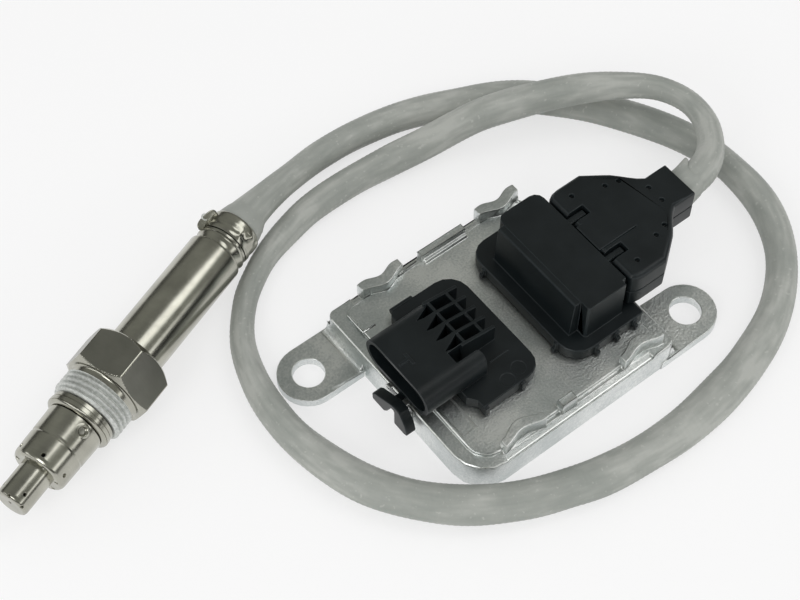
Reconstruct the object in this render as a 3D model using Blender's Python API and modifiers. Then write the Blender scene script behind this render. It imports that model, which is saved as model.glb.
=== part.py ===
# Nitrogen oxide sensor for a lorry exhaust: a control unit, a probe and the sleeved cable between them.
# Metres, +Z up. The origin is the middle of the control unit's underside. +X runs along the two ears.

import math

import bmesh
import bpy
from mathutils import Matrix, Vector

# Clearances
GAP = 0.0003

# Housing: one die casting with two ears
HOUSING_LENGTH = 0.0658
HOUSING_WIDTH = 0.0620
TOP_HEIGHT = 0.0110
RIM_DROP = 0.0012
TOP_INSET_X = 0.0039
TOP_INSET_Y = 0.0030
WIDE_CORNER = 0.0095
TIGHT_CORNER = 0.0024
EAR_OVERHANG = 0.0118
EAR_INSET = 0.0081
EAR_HALF_WIDTH = 0.0084
EAR_THICKNESS = 0.0030
EAR_HOLE_RADIUS = 0.00426
EAR_FILLET = 0.0026
EAR_FILLET_RISE = 0.0034
ROOF_THICKNESS = 0.0026
SKIRT_WALL = 0.0016
STEP_WIDTH = 0.0018

# Sloped bands that are let into the long rims
BAND_FROM = -0.0232
BAND_TO = 0.0252
BAND_TOP_DROP = 0.0004
BAND_FOOT_DROP = 0.0021
BAND_SHELF = 0.0008

# Cast lugs along the long rims
LUG_RISE = 0.0030
LUG_LENGTH = 0.0132
LUG_THICKNESS = 0.0022
BACK_LUG_DIPS = (0.0022, 0.0021)
FRONT_LUG_DIPS = (0.0015, 0.0023)
LUG_MIDDLES = (-0.0160, 0.0231)
BACK_LUG_INSET = 0.0013
FRONT_LUG_INSET = 0.0028
BAR_FROM = -0.0037
BAR_TO = 0.0111
BAR_INSET = 0.0021
BAR_WIDTH = 0.0023
BAR_RISE = 0.0021
BAR_STEP_WIDTH = 0.0011
BAR_STEP_RISE = 0.0009
BLOCK_FROM = -0.0042
BLOCK_TO = 0.0006
BLOCK_INSET = 0.0030
BLOCK_WIDTH = 0.0026
BLOCK_RISE = 0.0024
RECESS_INSETS = (0.0049, 0.0092, 0.0116, 0.0250)
RECESS_DEPTH = 0.0003
RIDGE_INSETS = ((0.0036, 0.0040, 0.0044, 0.0112), (0.0036, 0.0077, 0.0108, 0.0112))
RIDGE_RISE = 0.0002

# Base plate, its seal and its screws
PLATE_THICKNESS = 0.0020
SEAL_WIDTH = 0.0014
SEAL_HEIGHT = 0.0009
SCREW_INSET_X = 0.0079
SCREW_INSET_Y = 0.0082
SCREW_HEAD_RADIUS = 0.0023
SCREW_HEAD_HEIGHT = 0.0011
SCREW_RADIUS = 0.0012
SCREW_LENGTH = 0.0070
BOSS_RADIUS = 0.0031

# Circuit board
BOARD_MARGIN_X = 0.0085
BOARD_MARGIN_Y = 0.0016
BOARD_THICKNESS = 0.0016
BOARD_DROP = 0.0034
POST_RADIUS = 0.0015
POST_INSET = 0.0022
CHIP_SIZE = 0.0100
CHIP_HEIGHT = 0.0012
CHIPS = ((-0.0020, 0.0120, 1.0), (-0.0030, -0.0060, 0.7), (0.0040, -0.0170, 0.6))

# Vehicle connector
FLANGE_THICKNESS = 0.0037
FLANGE_SEAL_INSET = 0.0022
FLANGE_SEAL_WIDTH = 0.0014
FLANGE_SEAL_HEIGHT = 0.0008
VEHICLE_FROM_X = -0.0220
VEHICLE_TO_X = -0.0007
VEHICLE_FROM_Y = -0.0178
VEHICLE_TO_Y = 0.0187
VEHICLE_CORNERS = (0.0008, 0.0052, 0.0062, 0.0020)
FLANGE_CUT_X = 0.0018
FLANGE_CUT_Y = 0.0048
VEHICLE_WINDOW = (-0.0180, -0.0050, -0.0110, 0.0130)
SHROUD_MOUTH_X = -0.0330
SHROUD_BACK_X = -0.0134
SHROUD_FLOOR_X = -0.0230
SHROUD_MIDDLE_Y = 0.0011
SHROUD_LIFT = 0.0024
SHROUD_WIDTH = 0.0250
SHROUD_HEIGHT = 0.0100
SHROUD_WALL = 0.0012
SHROUD_END_BULGE = 0.0010
KEY_SETBACK = 0.0008
KEY_LENGTH = 0.0036
KEY_WIDTH = 0.0008
KEY_HEAD_WIDTH = 0.0036
KEY_RISE = 0.0004
PEG_RADIUS = 0.0012
PEG_LENGTH = 0.0068
PEG_SETBACK = 0.0012
SIDE_CLIPS_X = (-0.0196, -0.0077)
SIDE_CLIP_WIDTH = 0.0013
SIDE_CLIP_REACH = 0.0007
FLANGE_RIB = (-0.0110, -0.0050, -0.0086)
FLANGE_RIB_WIDTH = 0.0004
FLANGE_RIB_RISE = 0.0003
FIN_COUNT = 5
FIN_FIRST_Y = -0.0036
FIN_PITCH = 0.0038
FIN_THICKNESS = 0.0009
FIN_START_X = -0.0158
FIN_END_X = -0.0056
FIN_DROP = 0.0018
NOTCH_LENGTH = 0.0048
NOTCH_SKEW = 0.0010
SIDE_POCKET_WIDTH = 0.0034
SIDE_POCKET_X = -0.0207
POCKET_SLOPE = 0.0027
CROSS_BAR_X = (-0.0150, -0.0091)
CROSS_BAR_THICKNESS = 0.0008
CROSS_BAR_DEPTH = 0.0016
MOULD_MARKS = ((-0.0106, -0.0153), (-0.0062, -0.0142))
MOULD_MARK_RADIUS = 0.0020
MOULD_MARK_DEPTH = 0.00015
VEHICLE_PIN_COUNT = 4
VEHICLE_PIN_PITCH = 0.0040
VEHICLE_PIN_WIDTH = 0.0015
PIN_THICKNESS = 0.0008
VEHICLE_PIN_TIP_X = -0.0270
VEHICLE_PIN_DROP_X = -0.0204
VEHICLE_PIN_RUN_DROP = 0.0014
VEHICLE_PIN_LEG_X = -0.0150
PIN_FOOT_REACH = 0.0008

# Lock clip in front of the vehicle connector
CLIP_BAR_FROM_Y = -0.0080
CLIP_BAR_TO_Y = 0.0078
CLIP_DEPTH = 0.0030
CLIP_BAR_DROP = 0.0022
CLIP_BAR_HEIGHT = 0.0042
CLIP_LOBE_LENGTH = 0.0066
CLIP_SLOT_FROM_Y = -0.0026
CLIP_SLOT_TO_Y = 0.0008
CLIP_NECK_TO_X = -0.0245
CLIP_NECK_THICKNESS = 0.0008

# Probe connector header
HEADER_FROM_X = 0.0062
HEADER_TO_X = 0.0297
HEADER_FROM_Y = -0.0213
HEADER_TO_Y = 0.0213
HEADER_CORNERS = (0.0062, 0.0009, 0.0052, 0.0054)
HEADER_CLIPS_X = (0.0138, 0.0206, 0.0267)
HEADER_CLIPS_Y = (-0.0143, 0.0143)
HEADER_CLIP_WIDTH = 0.0011
HEADER_CLIP_REACH = 0.0006
HEADER_CLIP_FOOT = 0.0014
HEADER_WINDOW = (0.0110, 0.0190, -0.0150, 0.0150)
BLOCKHEAD_FROM_X = 0.0126
BLOCKHEAD_TO_X = 0.0262
BLOCKHEAD_HALF_Y = 0.0179
BLOCKHEAD_HEIGHT = 0.0130
BLOCKHEAD_DRAFT = 0.0008
BLOCKHEAD_CORNERS = (0.0, 0.0, 0.0028, 0.0022)
BLOCKHEAD_STEP_X = 0.0250
BLOCKHEAD_STEP = 0.0015
BLOCKHEAD_EDGE = 0.0008
FRONT_PLATE_FROM_X = 0.0106
FRONT_PLATE_HALF_Y = 0.0149
FRONT_PLATE_DROP = 0.00015
SOCKET_FLOOR_X = 0.0175
SOCKET_HALF_Y = 0.0134
SOCKET_FLOOR_WALL = 0.0018
SOCKET_ROOF_WALL = 0.0018
PROBE_PIN_ROWS = ((0.0026, 0.0152), (0.0068, 0.0130))
PROBE_PIN_COLUMNS = 4
PROBE_PIN_PITCH = 0.0044
PROBE_PIN_WIDTH = 0.0008
PROBE_PIN_TIP_X = 0.0222

# Plug: contact carrier and the two boot shells
PLUG_MIDDLE_Y = -0.0015
CARRIER_BACK_X = 0.0325
BOOT_FRONT_X = 0.0270
BOOT_FRONT_HALF = 0.0150
BOOT_FRONT_ROUND = 0.0036
BOOT_HEIGHT = 0.0131
BOOT_SEAM_HEIGHT = 0.0065
BOOT_WALL = 0.0018
BOOT_HALF_WIDTH = 0.0170
BOOT_SHOULDER_X = 0.0382
BOOT_WAIST_X = 0.0432
BOOT_WAIST_HALF = 0.0134
BOOT_THROAT_X = 0.0512
BOOT_NECK_HALF = 0.0058
BOOT_END_X = 0.0585
BOOT_RIM = 0.0016
BOOT_END_DROP = 0.0011
BOOT_SLOPE_FROM_X = 0.0470
TONGUE_FRONT_X = 0.0265
TONGUE_HALF = 0.0045
TONGUE_GROOVE_X = 0.0388
TONGUE_GROOVE_WIDTH = 0.0003
TONGUE_GROOVE_DEPTH = 0.0004
NOTCH_INNER_HALF = 0.0058
NOTCH_OUTER_HALF = 0.0088
NOTCH_BACK_X = 0.0324
BOOT_HOLE_RADIUS = 0.0007
BOOT_HOLE_DEPTH = 0.0012
BOOT_HOLES = ((0.0320, 0.0126), (0.0410, 0.0098), (0.0448, 0.0088), (0.0496, 0.0025))

# Cable: a sleeve that is squeezed thinner in places, so each route point has its own radius
CABLE_BORE_RADIUS = 0.0046
CABLE_RADIUS = 0.0043
CABLE_START_X = 0.0530
CABLE_SPACING = 0.0093
CABLE_ROUTE = (
    (0.0680, -0.0003, 0.0211, 0.0042),
    (0.0755, 0.0037, 0.0202, 0.0038),
    (0.0811, 0.0105, 0.0191, 0.0036),
    (0.0834, 0.0180, 0.0183, 0.0035),
    (0.0826, 0.0250, 0.0178, 0.0035),
    (0.0793, 0.0320, 0.0170, 0.0036),
    (0.0722, 0.0388, 0.0160, 0.0038),
    (0.0640, 0.0445, 0.0152, 0.0042),
    (0.0548, 0.0490, 0.0146, 0.0044),
    (0.0456, 0.0529, 0.0136, 0.0045),
    (0.0367, 0.0572, 0.0106, 0.0045),
    (0.0251, 0.0604, 0.0066, 0.0045),
    (0.0130, 0.0629, 0.0047, 0.0045),
    (0.0009, 0.0640, 0.0045, 0.0043),
    (-0.0119, 0.0638, 0.0043, 0.0041),
    (-0.0205, 0.0625, 0.0040, 0.0039),
    (-0.0299, 0.0598, 0.0037, 0.0035),
    (-0.0375, 0.0561, 0.0036, 0.0033),
    (-0.0455, 0.0499, 0.0036, 0.0033),
    (-0.0533, 0.0398, 0.0037, 0.0035),
    (-0.0576, 0.0274, 0.0041, 0.0039),
    (-0.0591, 0.0137, 0.0045, 0.0043),
    (-0.0576, 0.0015, 0.0046, 0.0045),
    (-0.0543, -0.0094, 0.0046, 0.0045),
    (-0.0491, -0.0192, 0.0046, 0.0045),
    (-0.0422, -0.0275, 0.0046, 0.0045),
    (-0.0339, -0.0345, 0.0046, 0.0045),
    (-0.0242, -0.0402, 0.0046, 0.0045),
    (-0.0137, -0.0442, 0.0046, 0.0045),
    (-0.0025, -0.0472, 0.0046, 0.0045),
    (0.0089, -0.0486, 0.0046, 0.0045),
    (0.0204, -0.0489, 0.0046, 0.0044),
    (0.0322, -0.0478, 0.0045, 0.0043),
    (0.0449, -0.0450, 0.0045, 0.0044),
    (0.0577, -0.0404, 0.0045, 0.0043),
    (0.0693, -0.0331, 0.0045, 0.0043),
    (0.0783, -0.0232, 0.0045, 0.0044),
    (0.0841, -0.0106, 0.0046, 0.0045),
    (0.0855, 0.0032, 0.0046, 0.0045),
    (0.0836, 0.0156, 0.0046, 0.0045),
    (0.0792, 0.0271, 0.0046, 0.0044),
    (0.0733, 0.0379, 0.0045, 0.0044),
    (0.0661, 0.0481, 0.0045, 0.0043),
    (0.0575, 0.0571, 0.0045, 0.0043),
    (0.0471, 0.0643, 0.0044, 0.0042),
    (0.0355, 0.0699, 0.0043, 0.0040),
    (0.0237, 0.0742, 0.0042, 0.0040),
    (0.0114, 0.0763, 0.0042, 0.0040),
    (-0.0014, 0.0758, 0.0056, 0.0040),
    (-0.0134, 0.0735, 0.0078, 0.0040),
    (-0.0218, 0.0712, 0.0096, 0.0042),
)

# Probe: lengths run along its axis from the hexagon's shoulder, minus towards the tip
PROBE_SHOULDER = (-0.0800, 0.0503)
PROBE_TURN = 20.0
HEX_FLATS = 0.0220
HEX_FRONT = -0.0117
HEX_CHAMFER = 0.0011
NECK_RADIUS = 0.0095
NECK_FRONT = -0.0134
THREAD_RADIUS = 0.0100
THREAD_FRONT = -0.0194
COLLAR_RADIUS = 0.0091
COLLAR_LENGTH = 0.0034
FRONT_SPIGOT_RADIUS = 0.0066
SPIGOT_FRONT = -0.0250
BODY_BORE = 0.0048
OUTER_CAP_FRONT = -0.0386
OUTER_CAP_RADIUS = 0.0078
OUTER_CAP_TAPER = 0.0003
OUTER_CAP_WALL = 0.0006
INNER_CAP_FRONT = -0.0489
INNER_CAP_RADIUS = 0.0045
INNER_CAP_WALL = 0.0006
INNER_CAP_FOOT = 0.0010
CAP_HOLE = 0.0006
OUTER_CAP_HOLES = 8
INNER_CAP_HOLES = 3
TUBE_RADIUS = 0.00768
TUBE_WALL = 0.0007
TUBE_SHOULDER = 0.0369
TUBE_END = 0.0407
TUBE_GROOVE_DEPTH = 0.00068
TUBE_END_WALL = 0.0005
BODY_SOCKET = 0.0050
BAND_START = 0.0410
BAND_END = 0.0468
BAND_STEP = 0.00015
BAND_WALL = 0.0004
TONGUE_LENGTH = 0.0072
TONGUE_WIDTH = 0.0036
TONGUE_THICKNESS = 0.0006
TONGUE_ANGLE = 157.0
GROMMET_INSIDE = 0.0340
GROMMET_END = 0.0500
GROMMET_TIP_RADIUS = 0.0058
ELEMENT_WIDTH = 0.0042
ELEMENT_THICKNESS = 0.0014
ELEMENT_FRONT = -0.0440
ELEMENT_BACK = 0.0270
BUSH_SPANS = (("front_ceramic_bush", -0.0235, -0.0160), ("talc_ring", -0.0157, -0.0085),
              ("rear_ceramic_bush", -0.0082, 0.0030))
HOLDER_FROM = 0.0190
HOLDER_TO = 0.0335
HOLDER_SLOT = 0.0090

CORNER_SIGNS = ((-1, -1), (1, -1), (1, 1), (-1, 1))
ROUND_STEPS = 40
SMALL_STEPS = 20


def clear_scene():
    for item in list(bpy.data.objects):
        bpy.data.objects.remove(item, do_unlink=True)


def make_collection(name):
    collection = bpy.data.collections.new(name)
    bpy.context.scene.collection.children.link(collection)
    return collection


def make_material(name, colour, roughness, metallic):
    material = bpy.data.materials.new(name)
    material.use_nodes = True
    shader = material.node_tree.nodes["Principled BSDF"]
    shader.inputs["Base Color"].default_value = (*colour, 1.0)
    shader.inputs["Roughness"].default_value = roughness
    shader.inputs["Metallic"].default_value = metallic
    return material


clear_scene()
PARTS = make_collection("nitrogen_oxide_sensor")
CUTTERS = make_collection("cutters")
CAST = make_material("die_cast_aluminium", (0.27, 0.29, 0.28), 0.42, 1.0)
STEEL = make_material("stainless_steel", (0.42, 0.41, 0.37), 0.24, 1.0)
SHEET = make_material("aluminium_sheet", (0.50, 0.51, 0.50), 0.35, 1.0)
BLACK = make_material("black_polyester", (0.018, 0.021, 0.022), 0.45, 0.0)
RUBBER = make_material("black_rubber", (0.012, 0.012, 0.012), 0.80, 0.0)
SLEEVE = make_material("grey_sleeve", (0.30, 0.32, 0.30), 0.55, 0.0)
BRASS = make_material("tinned_brass", (0.60, 0.58, 0.50), 0.30, 1.0)
BOARD = make_material("circuit_board_green", (0.03, 0.12, 0.06), 0.50, 0.0)
CERAMIC = make_material("white_ceramic", (0.75, 0.73, 0.68), 0.40, 0.0)

PROBE = bpy.data.objects.new("probe_axis", None)
PROBE.location = (PROBE_SHOULDER[0], PROBE_SHOULDER[1], HEX_FLATS / 2)
PROBE.rotation_euler = (0.0, math.radians(90.0), math.radians(PROBE_TURN))
PARTS.objects.link(PROBE)


def add_object(name, mesh, material=None, parent=None):
    """Link a mesh as a part if it has a material, and as a cutter if it has none."""
    item = bpy.data.objects.new(name, mesh)
    if material is None:
        CUTTERS.objects.link(item)
        item.hide_render = True
        item.display_type = "WIRE"
    else:
        PARTS.objects.link(item)
        mesh.materials.append(material)
    item.parent = parent
    return item


def finish_mesh(name, bm, rounded=()):
    """Flat faces stay flat, and only the rounded ones are shaded smooth."""
    for face in rounded:
        if face.is_valid:
            face.smooth = True
    mesh = bpy.data.meshes.new(name)
    bm.to_mesh(mesh)
    bm.free()
    return mesh


def bevel_edges(bm, edges, radius, steps):
    """Round some edges and return the faces that this makes."""
    return bmesh.ops.bevel(bm, geom=edges, offset=radius, segments=steps, profile=0.5, affect="EDGES",
                           clamp_overlap=True)["faces"]


def boolean(target, tool, operation):
    modifier = target.modifiers.new(tool.name, "BOOLEAN")
    modifier.operation = operation
    modifier.object = tool
    modifier.solver = "EXACT"


def cut(target, tool):
    boolean(target, tool, "DIFFERENCE")


def join(target, tool):
    boolean(target, tool, "UNION")


def box(name, low, high, material=None, parent=None, corners=(0, 0, 0, 0), rim=0.0, steps=4):
    """A block between two corners. Its upright edges and its top rim can be rounded."""
    bm = bmesh.new()
    low = Vector(low)
    high = Vector(high)
    size = Matrix.Diagonal((*(high - low), 1.0))
    bmesh.ops.create_cube(bm, size=1.0, matrix=Matrix.Translation((low + high) / 2) @ size)
    rounded = []
    for radius, (sign_x, sign_y) in zip(corners, CORNER_SIGNS):
        if radius <= 0.0:
            continue
        x = high.x if sign_x > 0 else low.x
        y = high.y if sign_y > 0 else low.y
        edges = [edge for edge in bm.edges
                 if all(abs(v.co.x - x) < 1e-7 and abs(v.co.y - y) < 1e-7 for v in edge.verts)]
        rounded += bevel_edges(bm, edges, radius, steps)
    if rim > 0.0:
        edges = [edge for edge in bm.edges if all(abs(v.co.z - high.z) < 1e-7 for v in edge.verts)]
        rounded += bevel_edges(bm, edges, rim, 2)
    return add_object(name, finish_mesh(name, bm, rounded), material, parent)


def lengthwise_box(name, low, high, radius, material=None, steps=6):
    """A block with the four edges along X rounded: a stadium when the radius is half the height."""
    bm = bmesh.new()
    low = Vector(low)
    high = Vector(high)
    size = Matrix.Diagonal((*(high - low), 1.0))
    bmesh.ops.create_cube(bm, size=1.0, matrix=Matrix.Translation((low + high) / 2) @ size)
    edges = [edge for edge in bm.edges if abs(edge.verts[0].co.x - edge.verts[1].co.x) > 1e-7]
    rounded = bevel_edges(bm, edges, radius * 0.999, steps)
    return add_object(name, finish_mesh(name, bm, rounded), material)


def cylinder(name, radius, low, high, material=None, parent=None, steps=SMALL_STEPS, tip=None, turn=0.0):
    """A straight or tapered round bar between two points."""
    bm = bmesh.new()
    low = Vector(low)
    high = Vector(high)
    axis = high - low
    spin = axis.to_track_quat("Z", "Y").to_matrix().to_4x4() @ Matrix.Rotation(math.radians(turn), 4, "Z")
    place = Matrix.Translation((low + high) / 2) @ spin
    bmesh.ops.create_cone(bm, cap_ends=True, segments=steps, radius1=radius,
                          radius2=radius if tip is None else tip, depth=axis.length, matrix=place)
    sides = [face for face in bm.faces if len(face.verts) == 4 and steps > 6]
    return add_object(name, finish_mesh(name, bm, sides), material, parent)


def plate(name, outline, low, high, material=None, matrix=None):
    """A flat outline given thickness: a filled 2D curve, extruded and made a mesh."""
    curve = bpy.data.curves.new(name, "CURVE")
    curve.dimensions = "2D"
    curve.fill_mode = "BOTH"
    curve.extrude = (high - low) / 2
    spline = curve.splines.new("POLY")
    spline.points.add(len(outline) - 1)
    for point, (x, y) in zip(spline.points, outline):
        point.co = (x, y, 0.0, 1.0)
    spline.use_cyclic_u = True
    guide = bpy.data.objects.new(name + "_outline", curve)
    CUTTERS.objects.link(guide)
    bpy.context.view_layer.update()
    mesh = bpy.data.meshes.new_from_object(guide.evaluated_get(bpy.context.evaluated_depsgraph_get()))
    bpy.data.objects.remove(guide, do_unlink=True)
    bm = bmesh.new()
    bm.from_mesh(mesh)
    bmesh.ops.remove_doubles(bm, verts=bm.verts, dist=1e-6)
    bmesh.ops.translate(bm, verts=bm.verts, vec=(0.0, 0.0, (low + high) / 2))
    if matrix is not None:
        bmesh.ops.transform(bm, matrix=matrix, verts=bm.verts)
    bmesh.ops.recalc_face_normals(bm, faces=bm.faces)
    gentle = math.radians(35.0)
    rounded = [face for face in bm.faces
               if sum(0.01 < edge.calc_face_angle(0.0) < gentle for edge in face.edges) > 1]
    return add_object(name, finish_mesh(name, bm, rounded), material)


# Turns an outline drawn in (X, Z) and extruded along its own Z so that it stands in the room along Y
UPRIGHT = Matrix(((1, 0, 0, 0), (0, 0, 1, 0), (0, 1, 0, 0), (0, 0, 0, 1)))


def turned(name, profile, material=None, closed=False, steps=ROUND_STEPS, parent=PROBE):
    """A turned piece: (radius, length) points swept round the probe's axis by a Screw modifier."""
    mesh = bpy.data.meshes.new(name)
    count = len(profile)
    edges = [(i, i + 1) for i in range(count - 1)]
    if closed:
        edges.append((count - 1, 0))
    mesh.from_pydata([(r, 0.0, z) for r, z in profile], edges, [])
    item = add_object(name, mesh, material, parent)
    screw = item.modifiers.new("turn", "SCREW")
    screw.steps = steps
    screw.render_steps = steps
    screw.use_merge_vertices = True
    screw.merge_threshold = 0.00001
    screw.use_smooth_shade = True
    return item


def inset(corners, wall):
    return tuple(max(radius - wall, 0.0006) for radius in corners)


HALF_X = HOUSING_LENGTH / 2
HALF_Y = HOUSING_WIDTH / 2
HOUSING_CORNERS = (WIDE_CORNER, TIGHT_CORNER, WIDE_CORNER, TIGHT_CORNER)
EAR_REACH = HALF_X + EAR_OVERHANG
EAR_OFFSET = HALF_Y - EAR_INSET
SCREW_X = HALF_X - SCREW_INSET_X
SCREW_Y = HALF_Y - SCREW_INSET_Y
CAVITY_INSET = SKIRT_WALL + STEP_WIDTH
BOARD_HALF_X = HALF_X - CAVITY_INSET - BOARD_MARGIN_X
BOARD_HALF_Y = HALF_Y - CAVITY_INSET - BOARD_MARGIN_Y
STEP_Z = PLATE_THICKNESS + 2 * GAP + SEAL_HEIGHT + GAP
RIM_HEIGHT = TOP_HEIGHT - RIM_DROP
ROOF_UNDERSIDE = TOP_HEIGHT - ROOF_THICKNESS
BAND_TOP = TOP_HEIGHT - BAND_TOP_DROP
BAND_FOOT = TOP_HEIGHT - BAND_FOOT_DROP
LUG_TOP = TOP_HEIGHT + LUG_RISE
BOARD_UNDERSIDE = ROOF_UNDERSIDE - BOARD_DROP
PIN_FOOT_Z = BOARD_UNDERSIDE - PIN_FOOT_REACH
FLANGE_BOTTOM = TOP_HEIGHT + GAP
FLANGE_TOP = FLANGE_BOTTOM + FLANGE_THICKNESS
SHROUD_MIDDLE_Z = FLANGE_TOP + SHROUD_LIFT
VEHICLE_PIN_RUN_Z = FLANGE_TOP - VEHICLE_PIN_RUN_DROP
BLOCKHEAD_TOP = FLANGE_TOP + BLOCKHEAD_HEIGHT
SOCKET_BOTTOM = FLANGE_TOP + SOCKET_FLOOR_WALL
SOCKET_TOP = BLOCKHEAD_TOP - SOCKET_ROOF_WALL
BOOT_TOP = FLANGE_TOP + BOOT_HEIGHT
BOOT_SEAM = FLANGE_TOP + BOOT_SEAM_HEIGHT
CABLE_MIDDLE_Z = BOOT_SEAM
CLIP_BAR_TOP = TOP_HEIGHT - CLIP_BAR_DROP
CLIP_BAR_FOOT = CLIP_BAR_TOP - CLIP_BAR_HEIGHT
CLIP_LOBE_FOOT = CLIP_BAR_TOP - CLIP_LOBE_LENGTH
CLIP_NECK_FOOT = FLANGE_BOTTOM
BOOT_BOTTOM = FLANGE_TOP + GAP
ROOF_TOP = SHROUD_MIDDLE_Z + SHROUD_HEIGHT / 2
TUBE_BORE = TUBE_RADIUS - TUBE_WALL
TUBE_GROOVE_RADIUS = TUBE_RADIUS - TUBE_GROOVE_DEPTH
BAND_RADIUS = TUBE_GROOVE_RADIUS + BAND_STEP


def lug_outline(middle, side, inset, dips):
    """A bowed finger: two cosine-shaped edges, each with its own dip towards the middle of the housing."""
    line = HALF_Y - inset
    count = 9
    outer = []
    inner = []
    for i in range(count):
        share = i / (count - 1)
        x = middle + (share - 0.5) * LUG_LENGTH
        wave = 0.5 - 0.5 * math.cos(2 * math.pi * share)
        outer.append((x, side * (line + LUG_THICKNESS / 2 - dips[0] * wave)))
        inner.append((x, side * (line - LUG_THICKNESS / 2 - dips[1] * wave)))
    return outer + inner[::-1]


def band_cutter(name, side):
    """The sloped band let into a long rim, drawn as its cross-section and run along X."""
    top = HALF_Y - TOP_INSET_Y
    foot = HALF_Y - BAND_SHELF
    far = HALF_Y + 0.002
    roof = TOP_HEIGHT + 0.002
    section = [(top, roof), (top, BAND_TOP), (foot, BAND_FOOT), (far, BAND_FOOT), (far, roof)]
    if side > 0:
        start, end = -BAND_TO, -BAND_FROM
    else:
        start, end = BAND_FROM, BAND_TO
    along = Matrix(((0, 0, 1, 0), (side, 0, 0, 0), (0, 1, 0, 0), (0, 0, 0, 1)))
    return plate(name, section, start, end, matrix=along)


def ear(name, side):
    """One ear: a tongue that grows out of the housing wall and ends round about its hole."""
    reach = side * EAR_REACH
    offset = -side * EAR_OFFSET
    root = side * (HALF_X - 0.004)
    points = [(root, offset - side * EAR_HALF_WIDTH)]
    steps = 14
    for i in range(steps + 1):
        angle = math.pi * (i / steps - 0.5)
        x = reach + side * EAR_HALF_WIDTH * math.cos(angle)
        y = offset + side * EAR_HALF_WIDTH * math.sin(angle)
        points.append((x, y))
    points.append((root, offset + side * EAR_HALF_WIDTH))
    return plate(name, points, 0.0, EAR_THICKNESS)


def ear_fillet(name, side):
    """The hollow web where an ear meets the wall above it, as a quarter of an oval."""
    wall = side * (HALF_X - 0.001)
    low = EAR_THICKNESS - 0.001
    section = [(wall, low), (side * (HALF_X + EAR_FILLET), low)]
    steps = 5
    for i in range(steps + 1):
        angle = math.pi / 2 * i / steps
        section.append((side * (HALF_X + EAR_FILLET * (1 - math.sin(angle))),
                        EAR_THICKNESS + EAR_FILLET_RISE * (1 - math.cos(angle))))
    section.append((wall, EAR_THICKNESS + EAR_FILLET_RISE))
    offset = -side * EAR_OFFSET
    reach = EAR_HALF_WIDTH - 0.0006
    return plate(name, section, offset - reach, offset + reach, matrix=UPRIGHT)


def window_cutter(name, window):
    low = (window[0], window[2], ROOF_UNDERSIDE - 0.002)
    high = (window[1], window[3], TOP_HEIGHT + 0.002)
    return box(name, low, high, corners=(0.001,) * 4, steps=2)


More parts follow.
